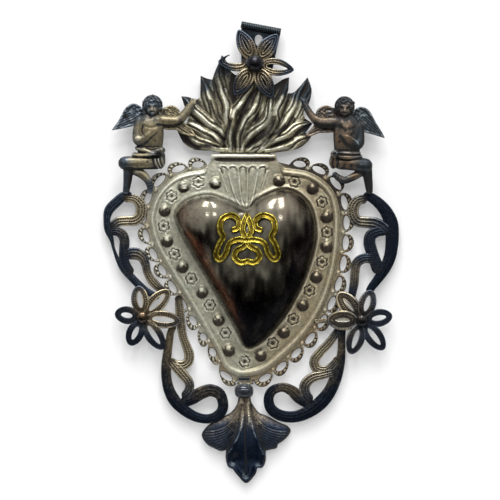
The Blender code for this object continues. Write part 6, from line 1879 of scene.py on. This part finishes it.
# %% The left child
# Limbs are x, y, depth and radius. warm lists the golden and the dark spots of the patina
LEFT_PUTTO = {
    "head": ((-46.5, 71.8), 7.3, 5.4),
    "tone": 0.02,
    "limbs": (
        ((-48, 50.6, 5.8, 6.4), (-47.8, 56, 6.4, 7), (-47.4, 61, 6.8, 6.8), (-46.6, 65, 6.4, 4.6)),
        ((-43.4, 64.4, 6.6, 3.2), (-37.6, 64.2, 6.2, 2.7), (-33.4, 64.8, 5.9, 2.5),
         (-30.4, 67.8, 5.6, 2.3), (-28.2, 71, 5.3, 2), (-26.6, 73, 5.1, 1.8)),
        ((-52.6, 63.4, 7, 3), (-53.6, 58, 7.8, 2.9), (-53.2, 54.4, 8.6, 2.8), (-49.6, 56, 9.4, 2.2),
         (-46.6, 58.6, 9.9, 1.6)),
        ((-44.4, 43.4, 6.2, 3.3), (-51, 43.4, 7, 3.5), (-60.2, 43.2, 6.8, 3.5)),
        ((-58.6, 40.6, 5.8, 2.7), (-58.9, 36, 5, 2.4), (-59.4, 32, 4.6, 2), (-59.8, 29.6, 4.2, 1.8)),
        ((-55, 39.6, 5.6, 2.5), (-51.2, 37.3, 5.2, 2.3), (-48.9, 34.6, 4.8, 2), (-47.8, 31.6, 4.4, 1.7),
         (-48, 29.4, 4.2, 1.5)),
        ((-55.4, 47.4, 7, 1.4), (-52, 47, 9.2, 1.4), (-46, 48.4, 9.4, 1.5), (-41.6, 49.6, 7, 1.6)),
        ((-54.2, 50.6, 7.4, 1.2), (-50.4, 49.6, 9.6, 1.3), (-46.4, 48.4, 9.8, 1.4), (-42, 47.8, 7.6, 1.5)),
        ((-42.4, 47, 6.4, 2.3), (-42.3, 43.6, 5.8, 2.3), (-42.6, 41.8, 5.2, 1.5)),
        ((-47.6, 58.4, 10.6, 0.62), (-46.3, 60.2, 10.6, 0.5)), ((-46.7, 57.9, 10.8, 0.62),
         (-45.3, 59.6, 10.8, 0.5)),
        ((-45.9, 57.4, 10.6, 0.6), (-44.6, 58.9, 10.4, 0.48)),
        ((-27.4, 73, 5.8, 0.8), (-26.9, 75.2, 5.5, 0.7)), ((-25.8, 73, 5.9, 0.8), (-25.2, 75, 5.6, 0.7)),
    ),
    # Strokes and dabs that darken the skin with little or no push, under the arms and thighs, along the outer
    # sides of the arms and body and under the chin, are painted shade; those that lighten the tops of the
    # arms, thighs and legs are painted highlights.
    "strokes": (
        (((-56.2, 47.4), (-53.5, 46.9), (-50.5, 46.9), (-46, 47.6)), 0.45, 0.2, 0.6),
        (((-55, 49.2), (-52.4, 48.4), (-50, 48.2)), 0.4, -0.45, -0.9),
        (((-53.8, 51.4), (-50, 51.2), (-46, 51), (-43, 51.4)), 0.35, -0.3, -0.6),
        (((-53.6, 50.4), (-50, 49.4), (-46, 48)), 0.3, 0.2, 0.45),
        (((-49.4, 50.4), (-46.6, 49.6), (-43.6, 50.3)), 0.25, -0.25, -0.6),
        (((-56, 46.1), (-50, 46), (-44, 46.2)), 0.45, -0.5, -1),
        (((-45.2, 45.5), (-44.6, 42.8), (-43.4, 41)), 0.32, 0.3, 0.45),
        (((-43.6, 45.8), (-43.2, 43.4), (-42, 41.2)), 0.32, 0.3, 0.45),
        (((-42, 45.8), (-41.5, 43.6), (-40.9, 41.8)), 0.32, 0.3, 0.4),
        (((-44.4, 45.6), (-43.9, 43.1), (-42.7, 41)), 0.26, -0.35, -0.7),
        (((-42.8, 45.8), (-42.4, 43.5), (-41.5, 41.4)), 0.26, -0.35, -0.7),
        (((-46.3, 46), (-45.9, 43), (-44.8, 40.8)), 0.35, -0.4, -0.9),
        (((-50.2, 61.3), (-47, 60.5), (-43.6, 61.3)), 0.7, -0.22, -0.2),
        (((-44, 62.3), (-40, 61.9), (-35, 62.2), (-31.8, 63.6)), 0.6, -0.1, -0.65),
        (((-44, 65.2), (-39, 65.2), (-34.5, 65)), 0.7, 0.1, 0.3),
        (((-55.4, 52.6), (-52.6, 51.6), (-49.2, 53.4), (-46.6, 56), (-44.4, 57.8)), 0.7, 0, -0.55),
        (((-56.2, 61), (-56.4, 56), (-56.6, 53.5)), 0.9, 0, -0.45),
        (((-51.2, 62), (-51.6, 58.6), (-50.4, 56.8)), 0.5, -0.25, -0.5),
        (((-54.6, 55.4), (-51, 56.2), (-48, 58.2)), 0.7, 0.1, 0.4),
        (((-59, 44.7), (-54, 45), (-49, 45)), 0.9, 0.1, 0.3),
        (((-60, 40.6), (-54, 40.2), (-49, 40.2), (-45, 40.6)), 0.8, 0, -0.6),
        (((-54.6, 38.9), (-51.2, 38.4), (-48.6, 35.8)), 0.7, 0.1, 0.45),
        (((-56.5, 37.6), (-53.5, 36.4), (-50.8, 34)), 0.8, 0, -0.55),
        (((-48.8, 33), (-46.4, 33.4)), 0.25, -0.25, -0.6),
        (((-49.2, 31.6), (-46.4, 31.9)), 0.25, -0.25, -0.6),
        (((-49.2, 30.2), (-46.6, 30.5)), 0.25, -0.25, -0.6),
        (((-57.6, 40), (-57.2, 36), (-57.8, 31)), 0.8, 0, -0.7),
        (((-41, 60), (-40.5, 55), (-40.6, 50)), 0.7, 0, -0.5),
    ),
    "dabs": (
        (-43, 47.4, 1.2, -1, -1.2), (-43.6, 50, 0.9, 0.3, 0.4), (-41.6, 50.2, 0.8, 0.25, 0.3),
        (-45.2, 54, 0.5, -0.35, -0.6), (-45.6, 56, 2.6, 0.35, 0.15), (-42.3, 57, 1.2, 0, 0.2),
        (-48.9, 43.5, 0.6, -0.3, -0.6), (-48.6, 45.4, 0.4, -0.2, -0.4), (-62.6, 43.2, 2, 0, -0.5),
        (-53.4, 55.2, 1, 0.1, 0.45), (-49.2, 64.6, 1.6, 0.1, 0.2), (-47, 66, 1.6, -0.1, -0.5),
        (-59, 34, 3.4, 0, -0.35),
    ),
    "warm": (
        (-47, 58, 9, 1), (-38, 65, 6, 1), (-53, 44, 6, 1), (-51, 38, 4, 1), (-42.5, 43, 3, 0.6),
        (-31, 68, 5, 0.9), (-27, 73.5, 4, 0.8), (-46.3, 70.2, 3.2, 0.75), (-63, 43, 3, -1),
        (-59.6, 33, 5, -0.8), (-46.5, 76, 3.2, -0.7), (-51, 72, 2.5, -0.8), (-42, 73, 2.5, -0.6),
        (-47, 67.6, 1.5, -0.3),
    ),
}
print("limbs of the left child:", len(LEFT_PUTTO["limbs"]))

# %% The right child
RIGHT_PUTTO = {
    "head": ((49, 71.2), 7.3, 5.3),
    "tone": -0.12,
    "limbs": (
        ((50.2, 49.4, 5.8, 6.4), (50.4, 54.4, 6.4, 7.1), (50.2, 60, 6.8, 7), (49.6, 64.2, 6.4, 4.6)),
        ((45.8, 63.4, 6.6, 3.1), (40, 63.2, 6.2, 2.7), (35.8, 64, 5.9, 2.4), (32.8, 66.8, 5.6, 2),
         (30.4, 70.6, 5.3, 1.7), (28.8, 74, 5.1, 1.5)),
        ((55.4, 61.2, 7, 3), (56.2, 56.2, 7.8, 2.9), (55.4, 52.6, 8.6, 2.9), (52, 55, 9.4, 2.3),
         (48.8, 58.4, 9.9, 1.7)),
        ((46.8, 43, 6.2, 3), (52.6, 43, 7, 3.5), (59.4, 42, 6.8, 3.7)),
        ((60.2, 40, 5.8, 2.8), (60.8, 35.8, 5, 2.4), (61.3, 32, 4.6, 2.1), (61.6, 29.4, 4.2, 1.8)),
        ((57, 38.6, 5.6, 2.3), (53.4, 36.4, 5.2, 2), (49.4, 34.8, 4.8, 1.9), (46.4, 35.8, 4.6, 1.8),
         (44.4, 37.6, 4.4, 1.5)),
        ((45.4, 48.3, 7.2, 1.1), (50, 47.9, 10, 1.1), (56, 48.2, 7.4, 1.1)),
        ((45.4, 46.6, 7.2, 1.1), (50, 46, 10, 1.2), (56.8, 46.4, 7.2, 1.2)),
        ((44, 46.4, 6.4, 2.1), (43.3, 43.8, 5.8, 2.1), (43.5, 42, 5.4, 1.6)),
        ((43.9, 47.6, 7.4, 2), (44.1, 47.7, 7.8, 2)),
        ((47.6, 57.6, 10.6, 0.6), (48, 59.8, 10.6, 0.5)), ((48.7, 57.6, 10.9, 0.6),
         (49.4, 60.1, 10.8, 0.5)),
        ((49.8, 57.4, 10.7, 0.6), (50.6, 59.5, 10.6, 0.48)),
        ((29.6, 73.8, 5.6, 0.55), (29.4, 76, 5.4, 0.45)), ((28.4, 73.8, 5.6, 0.55),
         (27.4, 75.8, 5.4, 0.45)),
    ),
    # Here too, strokes and dabs that darken the skin with little or no push are painted shade under the arms,
    # thighs and chin and along the outer sides, and those that lighten the tops of the arms and legs are
    # painted highlights.
    "strokes": (
        (((47, 61.8), (42, 61.5), (37, 62.2), (34, 63.2)), 0.75, 0, -0.65),
        (((46.4, 64.6), (42, 65.2), (38, 65.2), (35, 66)), 0.7, 0.1, 0.3),
        (((46.8, 56.4), (49.4, 53), (52.4, 50.8), (56, 49.8)), 0.75, 0, -0.65),
        (((49.6, 56.6), (52.6, 55.2), (55, 53.6), (55.8, 52.2)), 0.35, 0.25, 0.5),
        (((48.8, 56.6), (51, 54.4), (53.6, 52.8)), 0.35, 0.15, 0.3),
        (((58.2, 61), (58.6, 56), (58.2, 52), (56.6, 50)), 1, 0, -0.5),
        (((53.8, 61), (53.4, 58), (52, 57)), 0.6, -0.25, -0.5),
        (((46.6, 60.6), (50, 59.6), (53.6, 60.6)), 0.7, -0.22, -0.35),
        (((46, 48.5), (50, 48.2), (54, 48.1), (56.6, 48.3)), 0.35, 0.15, 0.55),
        (((46, 47.3), (50, 47), (56.6, 47.3)), 0.32, -0.35, -1.1),
        (((46, 46.6), (50, 46.2), (54, 46.1), (57.4, 46.6)), 0.3, 0.1, 0.4),
        (((46.4, 45), (51, 44.6), (57.6, 45.2)), 0.35, -0.4, -1),
        (((46, 49.4), (50, 49.2), (56.4, 49.5)), 0.4, -0.2, -0.8),
        (((42.3, 45.2), (41.9, 43), (42.6, 40.9)), 0.32, 0.25, 0.4),
        (((44.3, 45), (44.1, 43), (44.2, 41.4)), 0.32, 0.25, 0.4),
        (((43.3, 45.2), (43, 43), (43.4, 40.9)), 0.28, -0.35, -0.8),
        (((45.6, 46), (45.5, 43.4), (45.2, 41)), 0.4, -0.5, -1.2),
        (((48, 44), (51, 44.4), (55, 44.2)), 0.8, 0.08, 0.25),
        (((47.6, 40.3), (52, 39.6), (56, 38.6)), 0.7, 0, -0.55),
        (((58.4, 38.4), (58.8, 35), (59.4, 30)), 0.9, 0, -0.7),
        (((62, 37.8), (62.4, 33), (63, 29.4)), 0.8, 0, -0.6),
        (((56, 37.8), (53.4, 37.2), (50.6, 36.4)), 0.5, 0.1, 0.55),
        (((56, 35), (52, 34.2), (49, 33.4)), 0.6, 0, -0.55),
        (((46.4, 37.4), (45.6, 35.2)), 0.22, -0.2, -0.5),
        (((45.2, 38.4), (44.4, 36.2)), 0.22, -0.2, -0.5),
        (((43.6, 60), (43.8, 55), (43.8, 50.6)), 0.6, 0, -0.25),
    ),
    "dabs": (
        (43.9, 47.6, 0.6, -0.7, -1.2), (45.2, 48.1, 0.5, 0.25, 0.5), (44.2, 49.1, 0.5, 0.25, 0.5),
        (42.7, 48.7, 0.5, 0.25, 0.5), (42.6, 47, 0.5, 0.25, 0.5), (43.9, 46, 0.5, 0.25, 0.4),
        (46.4, 53.6, 0.5, -0.3, -0.6), (46.6, 55.6, 2.4, 0.35, 0.1), (49.2, 58.8, 0.4, -0.3, -0.7),
        (57.2, 42.4, 1, 0, 0.3), (59.6, 43, 0.7, 0, 0.3), (61.6, 41.6, 1.8, 0, -0.5),
        (52, 41.8, 1, -0.15, -0.4), (48.8, 42.4, 0.8, -0.15, -0.4), (49.6, 65.8, 1.8, -0.1, -0.9),
        (55.4, 54, 1.4, 0, 0.2), (61, 33, 3.4, 0, -0.3),
    ),
    "warm": (
        (48.8, 69.6, 3.2, 0.6), (50, 61, 5, 0.85), (46, 54, 5, 1), (50, 56.5, 3.5, 0.8), (40, 65, 5, 0.7),
        (50.5, 43.5, 5, 1), (54, 37, 3, 0.9), (43.2, 44, 3, 0.8), (33, 66, 4, 0.6), (47, 36, 3, 0.4),
        (58, 56, 3, -0.8), (61, 41, 4, -0.8),
    ),
}


print("limbs of the right child:", len(RIGHT_PUTTO["limbs"]))

# %% Skin, folds and hair


def drawn(x, y, strokes, dabs):
    """Push, and cleanness or painted light and shade, that strokes and dabs give to the skin."""
    push, clean = np.zeros(len(x)), np.zeros(len(x))
    for points, width, depth, tone in strokes:
        gap = beside(x, y, evenly(through(points), 0.2))[2]
        push += depth * ridge(gap, width)
        clean += tone * ridge(gap, width * 1.15)
    for a, b, radius, depth, tone in dabs:
        pull = near_spot(x, y, a, b, radius)
        push += depth * pull
        clean += tone * pull
    return push, clean


def cast_body(figure, locks):
    """The body of one putto as a closed mesh."""
    bm = bmesh.new()
    for points in figure["limbs"]:
        pellets(bm, points, min(0.5, 0.35 * min(point[3] for point in points)))
    middle, depth, size = figure["head"]
    head(bm, middle, depth, size, locks)
    skin = melted(bm)
    places = coordinates(bm)
    bmesh.ops.recalc_face_normals(bm, faces=bm.faces)
    bm.normal_update()
    outward = np.array([vert.normal[:] for vert in bm.verts])
    softened(bm, CREASE_PASSES)
    crease = ((places - coordinates(bm)) * outward).sum(axis=1)
    x, y = places[:, 0], places[:, 1]
    facing = np.clip(outward[:, 2] * 1.6, 0, 1)
    push, tone = drawn(x, y, figure["strokes"], figure["dabs"])
    face_x, face_y = x - middle[0], y - (middle[1] - 0.3 * size)
    face_push, face_tone = drawn(face_x, face_y, FACE_STROKES, FACE_DABS)
    in_face = (np.hypot(face_x / 3.4, face_y / 3.9) < 1.05) & (places[:, 2] > depth + 1.0)
    push += face_push * in_face
    tone += face_tone * in_face
    from_middle = np.hypot(x - middle[0], y - middle[1])
    hair = (from_middle / size < 1.1) & ~in_face & (y > middle[1] - 0.7 * size)
    swirl = np.cos(2 * np.pi * (from_middle / 1.25 + 0.4 * speckle(x, y, 1.8)))
    push += hair * 0.12 * swirl
    tone += hair * (0.22 * swirl - 0.25)
    places = places + outward * (push * facing)[:, None]
    floor = BODY_BACK - 0.4 * step_up(41.5 - y, 0.0, 1.0)
    points = on_wall(places[:, 0], places[:, 1], np.maximum(places[:, 2], floor))
    clean = 0.5 + np.clip(2.6 * crease, -0.7, 0.35) + tone * facing + 0.12 * speckle(x, y, 2.2)
    # Skin that turns away from the front is painted darker, as painted shade.
    clean += figure["tone"] - 0.45 * (1 - facing)
    warmth = patina(x, y, figure["warm"], 0.12)
    skin.clear_geometry()
    bm.to_mesh(skin)
    return closed_mesh(bm, skin, points, np.clip(clean, 0, 1), warmth)


print("strokes:", len(LEFT_PUTTO["strokes"]), "and", len(RIGHT_PUTTO["strokes"]))

# %% Wings
WING_THICKNESS = 1.3
# Each wing: outline, corners, shoulder, heading of its feathers in degrees, warmth, and a dark pit if any
WINGS = {
    "left_outer": (((-67, 59.7), (-65.4, 62), (-63.4, 64.8), (-60.6, 70), (-58.4, 72.2), (-56, 73.1),
                    (-53.4, 72.2), (-50.6, 69.4), (-49, 64), (-53.6, 62.4), (-57, 61.7), (-62, 60.6)),
                   (0, 8), (-52, 65), -150, 0.1, (-60.2, 66, 0.9)),
    "left_inner": (((-44, 62), (-42.4, 69.4), (-40, 71.4), (-37, 72.1), (-34.4, 71), (-32.6, 68.6),
                    (-31, 64), (-27, 60.2), (-24.6, 56.4), (-28.6, 57), (-32.4, 58.2), (-35.2, 59.8),
                    (-40, 60)), (0, 8), (-41, 65), -26, 0.75, None),
    "right_outer": (((69.2, 55.8), (68, 58.4), (64.8, 63.6), (62.4, 68.2), (60.4, 70.4), (58, 71.4),
                     (55.4, 70.8), (52.6, 68), (52, 62), (56, 60.2), (59, 58.8), (63.6, 57.5)),
                    (0, 8), (54, 65), -35, 0.05, None),
    "right_inner": (((46.4, 69), (44.4, 70.6), (42.2, 71.6), (39.6, 72.1), (36.9, 71.2), (35.2, 69.4),
                     (34.2, 66), (33.6, 62), (30.8, 58.6), (28.9, 56.7), (32.6, 56.9), (36.4, 58.3),
                     (41, 58.5), (47, 59)), (9, 13), (43, 64), 214, 0.55, None),
}
FEATHER = 1.15
SCALE_ROW = 1.9
WING_CELL = 0.32


def wing_sheet(outline, corners, root, heading, gold, pit):
    """One wing: scales near the shoulder and long feathers towards the tip."""
    ahead = np.array((math.cos(math.radians(heading)), math.sin(math.radians(heading))))

    def relief(x, y, edge):
        """Scales in rows round the shoulder, quills across the heading and a raised rim."""
        run = (x - root[0]) * ahead[0] + (y - root[1]) * ahead[1]
        side = (x - root[0]) * -ahead[1] + (y - root[1]) * ahead[0]
        out = np.hypot(x - root[0], y - root[1])
        row = out / SCALE_ROW
        lane = np.arctan2(side, run) * out / 1.6 + 0.5 * np.floor(row)
        scale = np.mod(row + 0.22 * np.cos(2 * np.pi * lane), 1.0)
        quill = np.cos(2 * np.pi * (side + 0.12 * run) / FEATHER)
        long = step_up(run, 1.5, 4.5)
        rise = (1 - long) * (0.5 * scale - 0.25) + long * 0.18 * quill
        blots = speckle(x, y, 1.7, 3.0)
        rim = ridge(edge - 0.5, 0.45)
        clean = 0.62 + (1 - long) * 0.4 * (scale - 0.4) + long * 0.16 * quill + 0.5 * blots + 0.25 * rim
        clean -= 0.4 * ridge(edge - 1.5, 0.4)
        depth = BODY_BACK + WING_THICKNESS + rise * np.clip(edge / 0.8, 0, 1) + 0.25 * rim + 0.1 * blots
        if pit:
            hollow = near_spot(x, y, *pit)
            depth -= 0.5 * hollow
            clean -= 1.4 * hollow
        return depth, clean, gold + 0.15 * speckle(x, y, 4.0, 7.0)

    return cut_sheet([cornered(outline, corners)], WING_CELL, relief, BODY_BACK)


print("wings:", len(WINGS))

# %% [markdown]
# ## The two castings
# Body and wings of each child are one casting. The right one is of a redder bronze than the left one, so it
# gets a finish of its own.

# %% The two castings
putto_bronze = aged_metal("putto_bronze", ((58, 66, 76), (134, 144, 154)), ((124, 114, 88), (172, 160, 128)),
                          (16, 15, 14), 0.44, 0.4, 0.35, 6.0, 0.6)
copper_bronze = aged_metal("copper_bronze", ((44, 52, 58), (118, 128, 134)), ((106, 89, 72), (164, 141, 110)),
                           (14, 12, 11), 0.42, 0.5, 0.35, 5.0, 0.6)
for side, figure, locks, bronze in (("left", LEFT_PUTTO, 34, putto_bronze),
                                    ("right", RIGHT_PUTTO, 30, copper_bronze)):
    wings = [wing_sheet(*WINGS[side + end]) for end in ("_outer", "_inner")]
    meshes = [cast_body(figure, locks), *wings]
    piece(side + "_putto_cast", meshes, bronze, side + "_putto", angle=75)
